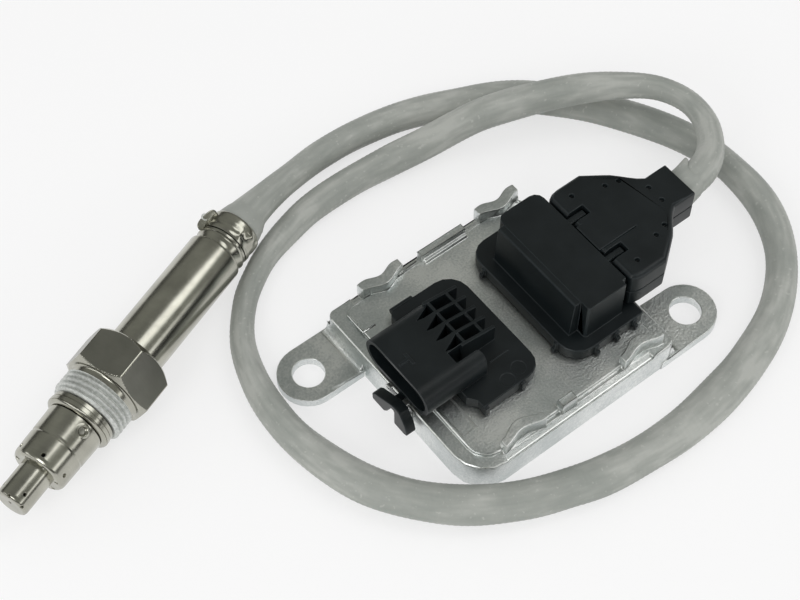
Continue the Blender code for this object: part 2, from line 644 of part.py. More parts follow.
def build_housing():
    low = (-HALF_X, -HALF_Y, 0.0)
    high = (HALF_X, HALF_Y, RIM_HEIGHT)
    housing = box("housing", low, high, CAST, corners=HOUSING_CORNERS, rim=0.0005)
    top_low = (TOP_INSET_X - HALF_X, TOP_INSET_Y - HALF_Y, RIM_HEIGHT - 0.001)
    top_high = (HALF_X - TOP_INSET_X, HALF_Y - TOP_INSET_Y, TOP_HEIGHT)
    corners = (WIDE_CORNER - TOP_INSET_X, 0.002, WIDE_CORNER - TOP_INSET_X, 0.002)
    join(housing, box("housing_top", top_low, top_high, corners=corners, rim=0.0003))
    for side in (-1, 1):
        tag = "left" if side < 0 else "right"
        join(housing, ear("ear_" + tag, side))
        join(housing, ear_fillet("ear_fillet_" + tag, side))
        cut(housing, band_cutter("rim_band_" + tag, side))
        hole = (side * EAR_REACH, -side * EAR_OFFSET)
        cut(housing, cylinder("ear_hole_" + tag, EAR_HOLE_RADIUS, (*hole, -0.001),
                              (*hole, EAR_THICKNESS + 0.001), steps=28))
    for i, middle in enumerate(LUG_MIDDLES):
        back = lug_outline(middle, 1, BACK_LUG_INSET, BACK_LUG_DIPS)
        join(housing, plate("back_lug_%d" % i, back, BAND_FOOT - 0.001, LUG_TOP))
        front = lug_outline(middle, -1, FRONT_LUG_INSET, FRONT_LUG_DIPS)
        join(housing, plate("front_lug_%d" % i, front, BAND_FOOT - 0.001, LUG_TOP))
    bar_line = HALF_Y - BAR_INSET
    bar_low = (BAR_FROM, bar_line - BAR_WIDTH / 2, BAND_FOOT - 0.001)
    bar_high = (BAR_TO, bar_line + BAR_WIDTH / 2, TOP_HEIGHT + BAR_RISE)
    join(housing, box("back_bar", bar_low, bar_high, rim=0.0002))
    step_low = (BAR_FROM + 0.0004, bar_low[1] - BAR_STEP_WIDTH, BAND_FOOT - 0.001)
    step_high = (BAR_TO - 0.0004, bar_low[1] + 0.0005, TOP_HEIGHT + BAR_STEP_RISE)
    join(housing, box("back_bar_step", step_low, step_high))
    block_line = BLOCK_INSET - HALF_Y
    block_low = (BLOCK_FROM, block_line - BLOCK_WIDTH / 2, BAND_FOOT - 0.001)
    block_high = (BLOCK_TO, block_line + BLOCK_WIDTH / 2, TOP_HEIGHT + BLOCK_RISE)
    join(housing, box("front_block", block_low, block_high, rim=0.0002))
    from_x, to_x, from_y, to_y = RECESS_INSETS
    cut(housing, box("roof_recess", (from_x - HALF_X, from_y - HALF_Y, TOP_HEIGHT - RECESS_DEPTH),
                     (to_x - HALF_X, to_y - HALF_Y, TOP_HEIGHT + 0.001)))
    for i, (from_x, to_x, to_y, from_y) in enumerate(RIDGE_INSETS):
        join(housing, box("roof_ridge_%d" % i, (from_x - HALF_X, HALF_Y - from_y, TOP_HEIGHT - 0.0005),
                          (to_x - HALF_X, HALF_Y - to_y, TOP_HEIGHT + RIDGE_RISE)))
    wall = SKIRT_WALL
    pocket_low = (wall - HALF_X, wall - HALF_Y, -0.001)
    pocket_high = (HALF_X - wall, HALF_Y - wall, STEP_Z)
    cut(housing, box("plate_pocket", pocket_low, pocket_high, corners=inset(HOUSING_CORNERS, wall)))
    wall = CAVITY_INSET
    cavity_low = (wall - HALF_X, wall - HALF_Y, STEP_Z - 0.001)
    cavity_high = (HALF_X - wall, HALF_Y - wall, ROOF_UNDERSIDE)
    cut(housing, box("board_cavity", cavity_low, cavity_high, corners=inset(HOUSING_CORNERS, wall)))
    cut(housing, window_cutter("vehicle_window", VEHICLE_WINDOW))
    cut(housing, window_cutter("probe_window", HEADER_WINDOW))
    for i, (sign_x, sign_y) in enumerate(CORNER_SIGNS):
        x = sign_x * SCREW_X
        y = sign_y * SCREW_Y
        join(housing, cylinder("boss_%d" % i, BOSS_RADIUS, (x, y, PLATE_THICKNESS + GAP),
                               (x, y, ROOF_UNDERSIDE + 0.0005)))
        cut(housing, cylinder("boss_hole_%d" % i, SCREW_RADIUS + GAP, (x, y, 0.001),
                              (x, y, SCREW_LENGTH + 3 * GAP), steps=12))
        x = sign_x * (BOARD_HALF_X - POST_INSET)
        y = sign_y * (BOARD_HALF_Y - POST_INSET)
        foot = BOARD_UNDERSIDE + BOARD_THICKNESS + GAP
        join(housing, cylinder("post_%d" % i, POST_RADIUS, (x, y, foot), (x, y, ROOF_UNDERSIDE + 0.0005),
                               steps=12))
    return housing


def build_base():
    margin = SKIRT_WALL + GAP
    low = (margin - HALF_X, margin - HALF_Y, 0.0)
    high = (HALF_X - margin, HALF_Y - margin, PLATE_THICKNESS)
    base = box("base_plate", low, high, SHEET, corners=inset(HOUSING_CORNERS, margin))
    seal_z = PLATE_THICKNESS + GAP
    low = (margin - HALF_X, margin - HALF_Y, seal_z)
    high = (HALF_X - margin, HALF_Y - margin, seal_z + SEAL_HEIGHT)
    seal = box("base_seal", low, high, RUBBER, corners=inset(HOUSING_CORNERS, margin))
    inner = margin + SEAL_WIDTH
    low = (inner - HALF_X, inner - HALF_Y, seal_z - 0.001)
    high = (HALF_X - inner, HALF_Y - inner, seal_z + SEAL_HEIGHT + 0.001)
    cut(seal, box("base_seal_inside", low, high, corners=inset(HOUSING_CORNERS, inner)))
    for i, (sign_x, sign_y) in enumerate(CORNER_SIGNS):
        x = sign_x * SCREW_X
        y = sign_y * SCREW_Y
        seat = SCREW_HEAD_HEIGHT + GAP
        cut(base, cylinder("counterbore_%d" % i, SCREW_HEAD_RADIUS + GAP, (x, y, -0.001), (x, y, seat)))
        cut(base, cylinder("plate_hole_%d" % i, SCREW_RADIUS + GAP, (x, y, -0.001), (x, y, 0.004), steps=12))
        screw = cylinder("base_screw_%d" % i, SCREW_HEAD_RADIUS, (x, y, 0.0), (x, y, SCREW_HEAD_HEIGHT),
                         STEEL)
        join(screw, cylinder("screw_shank_%d" % i, SCREW_RADIUS, (x, y, SCREW_HEAD_HEIGHT / 2),
                             (x, y, SCREW_LENGTH), steps=12))
        cut(screw, cylinder("screw_drive_%d" % i, SCREW_RADIUS, (x, y, -0.001), (x, y, 0.0006), steps=6))


def strip_outline(path, half, grow):
    """The outline of a bent strip: each side keeps the same distance from a path of square corners."""
    points = [Vector(point) for point in path]
    points[0] += (points[0] - points[1]).normalized() * grow
    points[-1] += (points[-1] - points[-2]).normalized() * grow
    last = len(points) - 1
    one_side = []
    other_side = []
    for i, point in enumerate(points):
        shift = Vector((0.0, 0.0))
        for first, second in {(max(i - 1, 0), max(i, 1)), (min(i, last - 1), min(i + 1, last))}:
            along = (points[second] - points[first]).normalized()
            shift += Vector((-along.y, along.x))
        one_side.append(tuple(point + shift * (half + grow)))
        other_side.append(tuple(point - shift * (half + grow)))
    return one_side + other_side[::-1]


def bent_pin(name, path, y, width, material, grow):
    outline = strip_outline(path, PIN_THICKNESS / 2, grow)
    side = width / 2 + grow
    return plate(name, outline, y - side, y + side, material, matrix=UPRIGHT)


def vehicle_pins(material=None, grow=0.0, name="vehicle_pin"):
    """Flat blades that step down behind the shroud, run back and end in the board."""
    path = [(VEHICLE_PIN_TIP_X, SHROUD_MIDDLE_Z), (VEHICLE_PIN_DROP_X, SHROUD_MIDDLE_Z),
            (VEHICLE_PIN_DROP_X, VEHICLE_PIN_RUN_Z), (VEHICLE_PIN_LEG_X, VEHICLE_PIN_RUN_Z),
            (VEHICLE_PIN_LEG_X, PIN_FOOT_Z)]
    pins = []
    for i in range(VEHICLE_PIN_COUNT):
        y = SHROUD_MIDDLE_Y + (i - (VEHICLE_PIN_COUNT - 1) / 2) * VEHICLE_PIN_PITCH
        pins.append(bent_pin("%s_%d" % (name, i), path, y, VEHICLE_PIN_WIDTH, material, grow))
    return pins


def probe_pins(material=None, grow=0.0, name="probe_pin"):
    """Two rows of L-shaped pins, the upper row's legs behind those of the lower row."""
    pins = []
    for row, (rise, leg_x) in enumerate(PROBE_PIN_ROWS):
        level = SOCKET_BOTTOM + rise
        path = [(PROBE_PIN_TIP_X, level), (leg_x, level), (leg_x, PIN_FOOT_Z)]
        for column in range(PROBE_PIN_COLUMNS):
            shift = column - (PROBE_PIN_COLUMNS - 1) / 2 + (row - 0.5) / 2
            y = PLUG_MIDDLE_Y + shift * PROBE_PIN_PITCH
            index = row * PROBE_PIN_COLUMNS + column
            pins.append(bent_pin("%s_%d" % (name, index), path, y, PROBE_PIN_WIDTH, material, grow))
    return pins


def build_board():
    top = BOARD_UNDERSIDE + BOARD_THICKNESS
    low = (-BOARD_HALF_X, -BOARD_HALF_Y, BOARD_UNDERSIDE)
    board = box("circuit_board", low, (BOARD_HALF_X, BOARD_HALF_Y, top), BOARD)
    half = CHIP_SIZE / 2
    for i, (x, y, share) in enumerate(CHIPS):
        low = (x - half * share, y - half * share, top - 0.0004)
        high = (x + half * share, y + half * share, top + CHIP_HEIGHT)
        join(board, box("chip_%d" % i, low, high))
    for cutter in vehicle_pins(grow=GAP, name="board_vehicle_hole"):
        cut(board, cutter)
    for cutter in probe_pins(grow=GAP, name="board_probe_hole"):
        cut(board, cutter)
    vehicle_pins(BRASS)
    probe_pins(BRASS)


def flange_seal(name, window, body, grow=0.0, material=None):
    """A rectangular ring round a window, or with no material the groove that it lies in."""
    margin = FLANGE_SEAL_INSET
    width = FLANGE_SEAL_WIDTH
    low = Vector((window[0] - margin, window[2] - margin, FLANGE_BOTTOM))
    high = Vector((window[1] + margin, window[3] + margin, FLANGE_BOTTOM + FLANGE_SEAL_HEIGHT))
    outer = Vector((grow, grow, 0.001 if grow else 0.0))
    ring = box(name, low - outer, high + Vector((grow, grow, grow)), material)
    inner = Vector((width + grow, width + grow, -0.002))
    core_low = low + inner
    core_high = high - inner
    cut(ring, box(name + "_inside", core_low, core_high))
    if body is not None:
        cut(body, ring)
    return ring


def flange_skirt(name, window):
    """The part of a header that reaches down through the housing's window."""
    low = (window[0] + GAP, window[2] + GAP, ROOF_UNDERSIDE)
    high = (window[1] - GAP, window[3] - GAP, FLANGE_TOP - 0.001)
    return box(name, low, high)


def fin_top(x):
    """Height of the fins' top edge, which falls a little from the shroud's roof to their blunt ends."""
    return ROOF_TOP - FIN_DROP * (x - FIN_START_X) / (FIN_END_X - FIN_START_X)


def build_lattice(header):
    """The shroud is cut away behind its roof, fins and cross bars are set in, and each cell gets a notch."""
    floor = FLANGE_TOP + 0.0002
    above = ROOF_TOP + 0.0005
    first = FIN_FIRST_Y
    last = FIN_FIRST_Y + (FIN_COUNT - 1) * FIN_PITCH
    half = FIN_THICKNESS / 2
    cell = [(FIN_START_X, above), (FIN_START_X, floor), (VEHICLE_TO_X, floor), (VEHICLE_TO_X, above)]
    shroud_side = SHROUD_MIDDLE_Y + SHROUD_WIDTH / 2 + 0.001
    cut(header, plate("lattice_pocket", cell, first, shroud_side, matrix=UPRIGHT))
    side = [(SIDE_POCKET_X, above), (SIDE_POCKET_X + POCKET_SLOPE, floor), (VEHICLE_TO_X, floor),
            (VEHICLE_TO_X, above)]
    side_from = first - SIDE_POCKET_WIDTH
    cut(header, plate("side_pocket", side, side_from, first + 0.0002, matrix=UPRIGHT))
    for i in range(FIN_COUNT - 1):
        low = first + i * FIN_PITCH + half
        high = low + FIN_PITCH - FIN_THICKNESS
        tip = FIN_START_X - NOTCH_LENGTH
        tip_y = (low + high) / 2 - NOTCH_SKEW
        notch = [(FIN_START_X + 0.0005, low), (FIN_START_X + 0.0005, high), (tip, tip_y),
                 (tip + NOTCH_LENGTH * 0.4, low)]
        cut(header, plate("notch_%d" % i, notch, floor + 0.0006, above))
    for i in range(FIN_COUNT):
        y = first + i * FIN_PITCH
        root = FIN_START_X - 0.0006
        fin = [(root, FLANGE_TOP - 0.001), (FIN_END_X, FLANGE_TOP - 0.001), (FIN_END_X, fin_top(FIN_END_X)),
               (FIN_START_X, fin_top(FIN_START_X)), (root, ROOF_TOP)]
        join(header, plate("fin_%d" % i, fin, y - half, y + half, matrix=UPRIGHT))
    for i, x in enumerate(CROSS_BAR_X):
        half = CROSS_BAR_THICKNESS / 2
        top = fin_top(x + half) - 0.0001
        join(header, box("cross_bar_%d" % i, (x - half, first, top - CROSS_BAR_DEPTH), (x + half, last, top)))
    tube_to = SHROUD_MIDDLE_Y - SHROUD_WIDTH / 2
    centre = (side_from + tube_to) / 2
    reach = (side_from - tube_to) / 2 + 0.0004
    end = [(SHROUD_BACK_X - SHROUD_END_BULGE * (share / 3) ** 2, centre + reach * share / 3)
           for share in range(-3, 4)]
    end += [(SHROUD_BACK_X + 0.001, centre + reach), (SHROUD_BACK_X + 0.001, centre - reach)]
    cut(header, plate("tube_end", end, floor, above))


def build_vehicle_header():
    low = (VEHICLE_FROM_X, VEHICLE_FROM_Y, FLANGE_BOTTOM)
    high = (VEHICLE_TO_X, VEHICLE_TO_Y, FLANGE_TOP)
    header = box("vehicle_header", low, high, BLACK, corners=VEHICLE_CORNERS, rim=0.0003)
    cut_to = (VEHICLE_FROM_X + FLANGE_CUT_X, VEHICLE_FROM_Y + FLANGE_CUT_Y)
    outside = (VEHICLE_FROM_X - 0.001, VEHICLE_FROM_Y - 0.001)
    corner = [(outside[0], cut_to[1]), (VEHICLE_FROM_X, cut_to[1]),
              (cut_to[0], VEHICLE_FROM_Y + FLANGE_CUT_Y / 2), (cut_to[0], outside[1]), outside]
    cut(header, plate("flange_corner_cut", corner, FLANGE_BOTTOM - 0.001, FLANGE_TOP + 0.001))
    half_y = SHROUD_WIDTH / 2
    half_z = SHROUD_HEIGHT / 2
    low = (SHROUD_MOUTH_X, SHROUD_MIDDLE_Y - half_y, SHROUD_MIDDLE_Z - half_z)
    high = (SHROUD_BACK_X, SHROUD_MIDDLE_Y + half_y, SHROUD_MIDDLE_Z + half_z)
    join(header, lengthwise_box("shroud", low, high, half_z))
    build_lattice(header)
    stem_x = SHROUD_MOUTH_X + KEY_SETBACK
    stem = KEY_WIDTH / 2
    join(header, box("key_stem", (stem_x, SHROUD_MIDDLE_Y - stem, ROOF_TOP - 0.001),
                     (stem_x + KEY_LENGTH, SHROUD_MIDDLE_Y + stem, ROOF_TOP + KEY_RISE)))
    head_x = stem_x + KEY_LENGTH
    head = KEY_HEAD_WIDTH / 2
    join(header, box("key_head", (head_x - KEY_WIDTH, SHROUD_MIDDLE_Y - head, ROOF_TOP - 0.001),
                     (head_x, SHROUD_MIDDLE_Y + head, ROOF_TOP + KEY_RISE)))
    peg_x = VEHICLE_FROM_X + PEG_SETBACK
    peg_z = FLANGE_BOTTOM + 2 * PEG_RADIUS
    join(header, cylinder("side_peg", PEG_RADIUS, (peg_x, VEHICLE_TO_Y, peg_z),
                          (peg_x + PEG_LENGTH, VEHICLE_TO_Y, peg_z), steps=12))
    for i, x in enumerate(SIDE_CLIPS_X):
        half = SIDE_CLIP_WIDTH / 2
        low = (x - half, VEHICLE_FROM_Y - SIDE_CLIP_REACH, FLANGE_BOTTOM)
        high = (x + half, VEHICLE_FROM_Y + 0.001, FLANGE_TOP - 0.0006)
        join(header, box("side_clip_%d" % i, low, high))
    from_x, to_x, y = FLANGE_RIB
    half = FLANGE_RIB_WIDTH / 2
    join(header, box("flange_rib", (from_x, y - half, FLANGE_TOP - 0.001),
                     (to_x, y + half, FLANGE_TOP + FLANGE_RIB_RISE)))
    for i, (x, y) in enumerate(MOULD_MARKS):
        cut(header, cylinder("mould_mark_%d" % i, MOULD_MARK_RADIUS, (x, y, FLANGE_TOP - MOULD_MARK_DEPTH),
                             (x, y, FLANGE_TOP + 0.001)))
    join(header, flange_skirt("vehicle_skirt", VEHICLE_WINDOW))
    half_y = SHROUD_WIDTH / 2 - SHROUD_WALL
    half_z -= SHROUD_WALL
    low = (SHROUD_MOUTH_X - 0.001, SHROUD_MIDDLE_Y - half_y, SHROUD_MIDDLE_Z - half_z)
    high = (SHROUD_FLOOR_X, SHROUD_MIDDLE_Y + half_y, SHROUD_MIDDLE_Z + half_z)
    cut(header, lengthwise_box("shroud_inside", low, high, half_z))
    flange_seal("vehicle_seal_groove", VEHICLE_WINDOW, header, grow=GAP)
    flange_seal("vehicle_seal", VEHICLE_WINDOW, None, material=RUBBER)
    for cutter in vehicle_pins(grow=GAP, name="vehicle_header_hole"):
        cut(header, cutter)


def build_lock_clip():
    front = -HALF_X - 2 * GAP - CLIP_DEPTH
    back = -HALF_X - 2 * GAP
    clip = box("lock_clip", (front, CLIP_BAR_FROM_Y, CLIP_BAR_FOOT), (back, CLIP_BAR_TO_Y, CLIP_BAR_TOP),
               BLACK, corners=(0.0008, 0, 0, 0.0008), steps=2)
    lobes = ((CLIP_BAR_FROM_Y, CLIP_SLOT_FROM_Y), (CLIP_SLOT_TO_Y, CLIP_BAR_TO_Y))
    for i, (start, end) in enumerate(lobes):
        low = (front - 0.0004, start + 0.0002, CLIP_LOBE_FOOT)
        high = (front + CLIP_DEPTH / 2, end - 0.0002, CLIP_BAR_TOP - 0.0012)
        join(clip, box("clip_lobe_%d" % i, low, high, corners=(0.0006,) * 4, steps=2))
    neck = [(back - 0.0012, CLIP_BAR_TOP - 0.0010), (back, CLIP_BAR_TOP - 0.0010),
            (back, CLIP_NECK_FOOT - 0.0012), (back + 0.0012, CLIP_NECK_FOOT),
            (CLIP_NECK_TO_X, CLIP_NECK_FOOT), (CLIP_NECK_TO_X, CLIP_NECK_FOOT + CLIP_NECK_THICKNESS),
            (back, CLIP_NECK_FOOT + CLIP_NECK_THICKNESS), (back - 0.0012, CLIP_NECK_FOOT - 0.0006)]
    join(clip, plate("clip_neck", neck, CLIP_SLOT_FROM_Y - 0.0010, CLIP_SLOT_TO_Y + 0.0010, matrix=UPRIGHT))


def header_clips(header):
    """Snap hooks round the probe header's flange: a flat rib with a foot that stands out a little more."""
    half = HEADER_CLIP_WIDTH / 2
    rib = (HEADER_CLIP_REACH, FLANGE_TOP - 0.0005)
    foot = (2 * HEADER_CLIP_REACH, FLANGE_BOTTOM + HEADER_CLIP_FOOT)
    for j, (reach, top) in enumerate((rib, foot)):
        for i, x in enumerate(HEADER_CLIPS_X):
            low = (x - half, HEADER_FROM_Y - reach, FLANGE_BOTTOM)
            join(header, box("side_clip_%d_%d" % (i, j), low, (x + half, HEADER_FROM_Y + 0.001, top)))
        for i, y in enumerate(HEADER_CLIPS_Y):
            low = (HEADER_FROM_X - reach, y - half, FLANGE_BOTTOM)
            join(header, box("end_clip_%d_%d" % (i, j), low, (HEADER_FROM_X + 0.001, y + half, top)))


def build_probe_header():
    header = box("probe_header", (HEADER_FROM_X, HEADER_FROM_Y, FLANGE_BOTTOM),
                 (HEADER_TO_X, HEADER_TO_Y, FLANGE_TOP), BLACK, corners=HEADER_CORNERS, rim=0.0003)
    foot = FLANGE_TOP - 0.001
    low = (BLOCKHEAD_FROM_X, BLOCKHEAD_STEP - BLOCKHEAD_HALF_Y, foot)
    high = (BLOCKHEAD_TO_X, BLOCKHEAD_HALF_Y, BLOCKHEAD_TOP)
    join(header, box("header_block", low, high, corners=BLOCKHEAD_CORNERS, steps=3))
    low = (BLOCKHEAD_FROM_X, -BLOCKHEAD_HALF_Y, foot)
    high = (BLOCKHEAD_STEP_X, -FRONT_PLATE_HALF_Y + 0.002, BLOCKHEAD_TOP)
    join(header, box("header_block_side", low, high, corners=(BLOCKHEAD_EDGE, 0, 0, 0), steps=3))
    root = BLOCKHEAD_FROM_X + 0.002
    top = BLOCKHEAD_TOP - FRONT_PLATE_DROP
    section = [(FRONT_PLATE_FROM_X - BLOCKHEAD_DRAFT, foot), (root, foot), (root, top),
               (FRONT_PLATE_FROM_X + 0.0003, top), (FRONT_PLATE_FROM_X, top - 0.0003)]
    join(header, plate("front_plate", section, -FRONT_PLATE_HALF_Y, FRONT_PLATE_HALF_Y, matrix=UPRIGHT))
    for i, sign in enumerate((-1, 1)):
        inner = PLUG_MIDDLE_Y + sign * (NOTCH_INNER_HALF + 2 * GAP)
        outer = PLUG_MIDDLE_Y + sign * (NOTCH_OUTER_HALF - 2 * GAP)
        low = (BLOCKHEAD_TO_X - 0.002, min(inner, outer), SOCKET_TOP + GAP)
        high = (NOTCH_BACK_X - 2 * GAP, max(inner, outer), BLOCKHEAD_TOP - 0.0006)
        join(header, box("latch_finger_%d" % i, low, high, rim=0.0004))
    header_clips(header)
    join(header, flange_skirt("probe_skirt", HEADER_WINDOW))
    low = (SOCKET_FLOOR_X, PLUG_MIDDLE_Y - SOCKET_HALF_Y, SOCKET_BOTTOM)
    high = (BLOCKHEAD_TO_X + 0.001, PLUG_MIDDLE_Y + SOCKET_HALF_Y, SOCKET_TOP)
    cut(header, box("socket", low, high))
    flange_seal("header_seal_groove", HEADER_WINDOW, header, grow=GAP)
    flange_seal("probe_header_seal", HEADER_WINDOW, None, material=RUBBER)
    for cutter in probe_pins(grow=GAP, name="probe_header_hole"):
        cut(header, cutter)


def build_carrier():
    low = (SOCKET_FLOOR_X + GAP, PLUG_MIDDLE_Y - SOCKET_HALF_Y + GAP, SOCKET_BOTTOM + GAP)
    high = (CARRIER_BACK_X, PLUG_MIDDLE_Y + SOCKET_HALF_Y - GAP, SOCKET_TOP - GAP)
    carrier = box("plug_carrier", low, high, BLACK)
    for cutter in probe_pins(grow=GAP, name="carrier_hole"):
        cut(carrier, cutter)


def boot_outline(wall=0.0, front=BOOT_FRONT_X, end=BOOT_END_X):
    """The boot seen from above: wide at the header, waisted, then drawn in to the cable's neck."""
    half = [(front, BOOT_FRONT_HALF)]
    for i in range(1, 4):
        angle = math.pi / 2 * i / 3
        half.append((BOOT_FRONT_X + BOOT_FRONT_ROUND * (1 - math.cos(angle)),
                     BOOT_FRONT_HALF + (BOOT_HALF_WIDTH - BOOT_FRONT_HALF) * math.sin(angle)))
    half += [(BOOT_SHOULDER_X, BOOT_HALF_WIDTH), (BOOT_WAIST_X, BOOT_WAIST_HALF)]
    steps = 5
    for i in range(1, steps + 1):
        share = i / steps
        ease = share * share * (3 - 2 * share)
        x = BOOT_WAIST_X + (BOOT_THROAT_X - BOOT_WAIST_X) * share
        half.append((x, BOOT_WAIST_HALF + (BOOT_NECK_HALF - BOOT_WAIST_HALF) * (0.6 * share + 0.4 * ease)))
    half.append((end, BOOT_NECK_HALF))
    right = [(x, PLUG_MIDDLE_Y - y + wall) for x, y in half]
    left = [(x, PLUG_MIDDLE_Y + y - wall) for x, y in half]
    return right + left[::-1]


def boot_shell(name, low, high, rim_up):
    """One half of the boot, with its outer rim rounded by a Bevel on the flat face only."""
    shell = plate(name, boot_outline(), low, high, BLACK)
    bm = bmesh.new()
    bm.from_mesh(shell.data)
    bmesh.ops.dissolve_limit(bm, angle_limit=0.01, verts=bm.verts, edges=bm.edges)
    level = high if rim_up else low
    edges = [edge for edge in bm.edges if all(abs(v.co.z - level) < 1e-7 for v in edge.verts)]
    for face in bevel_edges(bm, edges, BOOT_RIM, 3):
        face.smooth = True
    bm.to_mesh(shell.data)
    bm.free()
    return shell


def build_boot():
    top = boot_shell("plug_top_shell", BOOT_SEAM + GAP / 2, BOOT_TOP, True)
    bottom = boot_shell("plug_bottom_shell", BOOT_BOTTOM, BOOT_SEAM - GAP / 2, False)
    low = (TONGUE_FRONT_X, PLUG_MIDDLE_Y - TONGUE_HALF, SOCKET_TOP + GAP)
    high = (BOOT_FRONT_X + 2 * BOOT_RIM, PLUG_MIDDLE_Y + TONGUE_HALF, BOOT_TOP)
    join(top, box("boot_tongue", low, high))
    groove_y = PLUG_MIDDLE_Y - TONGUE_HALF
    low = (TONGUE_FRONT_X - 0.001, groove_y - TONGUE_GROOVE_WIDTH, BOOT_TOP - TONGUE_GROOVE_DEPTH)
    cut(top, box("tongue_groove", low, (TONGUE_GROOVE_X, groove_y, BOOT_TOP + 0.001)))
    for i, sign in enumerate((-1, 1)):
        inner = PLUG_MIDDLE_Y + sign * NOTCH_INNER_HALF
        outer = PLUG_MIDDLE_Y + sign * NOTCH_OUTER_HALF
        low = (BOOT_FRONT_X - 0.001, min(inner, outer), SOCKET_TOP - 0.001)
        high = (NOTCH_BACK_X, max(inner, outer), BOOT_TOP + 0.001)
        cut(top, box("boot_notch_%d" % i, low, high))
    inside = boot_outline(BOOT_WALL, BOOT_FRONT_X - 0.004, BOOT_THROAT_X)
    hollow = plate("boot_hollow", inside, BOOT_BOTTOM + BOOT_WALL, SOCKET_TOP)
    neck_y = PLUG_MIDDLE_Y
    bore = cylinder("cable_bore", CABLE_BORE_RADIUS, (BOOT_THROAT_X - 0.002, neck_y, CABLE_MIDDLE_Z),
                    (BOOT_END_X + 0.001, neck_y, CABLE_MIDDLE_Z), steps=24)
    for shell in (top, bottom):
        cut(shell, hollow)
        cut(shell, bore)
    beyond = BOOT_END_X + 0.001
    slope = [(BOOT_SLOPE_FROM_X, BOOT_TOP + 0.0001), (beyond, BOOT_TOP - BOOT_END_DROP),
             (beyond, BOOT_TOP + 0.001), (BOOT_SLOPE_FROM_X, BOOT_TOP + 0.001)]
    cut(top, plate("boot_slope", slope, PLUG_MIDDLE_Y - BOOT_HALF_WIDTH, PLUG_MIDDLE_Y + BOOT_HALF_WIDTH,
                   matrix=UPRIGHT))
    for i, (x, half) in enumerate(BOOT_HOLES):
        for j, sign in enumerate((-1, 1)):
            y = PLUG_MIDDLE_Y + sign * half
            low = (x, y, BOOT_TOP - BOOT_HOLE_DEPTH)
            cut(top, cylinder("boot_hole_%d_%d" % (i, j), BOOT_HOLE_RADIUS, low, (x, y, BOOT_TOP + 0.001),
                              steps=10))


def probe_point(length, level=0.0):
    """A point on the probe's axis in room coordinates."""
    turn = math.radians(PROBE_TURN)
    x = PROBE_SHOULDER[0] + length * math.cos(turn)
    y = PROBE_SHOULDER[1] + length * math.sin(turn)
    return (x, y, HEX_FLATS / 2 + level)


def cable_points():
    """The whole route with a radius at each point, from inside the boot to the grommet."""
    points = [(CABLE_START_X, PLUG_MIDDLE_Y, CABLE_MIDDLE_Z, CABLE_RADIUS),
              (BOOT_END_X, PLUG_MIDDLE_Y, CABLE_MIDDLE_Z, CABLE_RADIUS)]
    points += CABLE_ROUTE
    for length, radius in ((GROMMET_END + 0.0036, 0.0050), (GROMMET_END + GAP, GROMMET_TIP_RADIUS)):
        points.append((*probe_point(length), radius))
    return points


def smooth_points(points, spacing):
    """Evenly spaced points on a Catmull-Rom curve through the given ones. Both end pieces stay straight."""
    dense = []
    last = len(points) - 1
    for i in range(1, last - 1):
        around = [Vector(points[max(i - 1, 0)]), Vector(points[i]), Vector(points[i + 1]),
                  Vector(points[min(i + 2, last)])]
        for step in range(12):
            t = step / 12
            a = around[0] * (-t + 2 * t * t - t ** 3)
            b = around[1] * (2 - 5 * t * t + 3 * t ** 3)
            c = around[2] * (t + 4 * t * t - 3 * t ** 3)
            d = around[3] * (t ** 3 - t * t)
            dense.append((a + b + c + d) / 2)
    dense.append(Vector(points[last - 1]))
    lengths = [0.0]
    for first, second in zip(dense, dense[1:]):
        lengths.append(lengths[-1] + (second.xyz - first.xyz).length)
    count = round(lengths[-1] / spacing)
    result = [Vector(points[0])]
    at = 0
    for k in range(count + 1):
        want = lengths[-1] * k / count
        while at < len(dense) - 2 and lengths[at + 1] < want:
            at += 1
        share = (want - lengths[at]) / (lengths[at + 1] - lengths[at])
        result.append(dense[at].lerp(dense[at + 1], share))
    result.append(Vector(points[last]))
    return result


def build_cable():
    curve = bpy.data.curves.new("cable_sleeve", "CURVE")
    curve.dimensions = "3D"
    curve.bevel_depth = CABLE_RADIUS
    curve.bevel_resolution = 3
    curve.use_fill_caps = True
    points = smooth_points(cable_points(), CABLE_SPACING)
    spline = curve.splines.new("POLY")
    spline.points.add(len(points) - 1)
    for point, place in zip(spline.points, points):
        point.co = (place.x, place.y, place.z, 1.0)
        point.radius = place.w / CABLE_RADIUS
    item = bpy.data.objects.new("cable_sleeve", curve)
    PARTS.objects.link(item)
    curve.materials.append(SLEEVE)


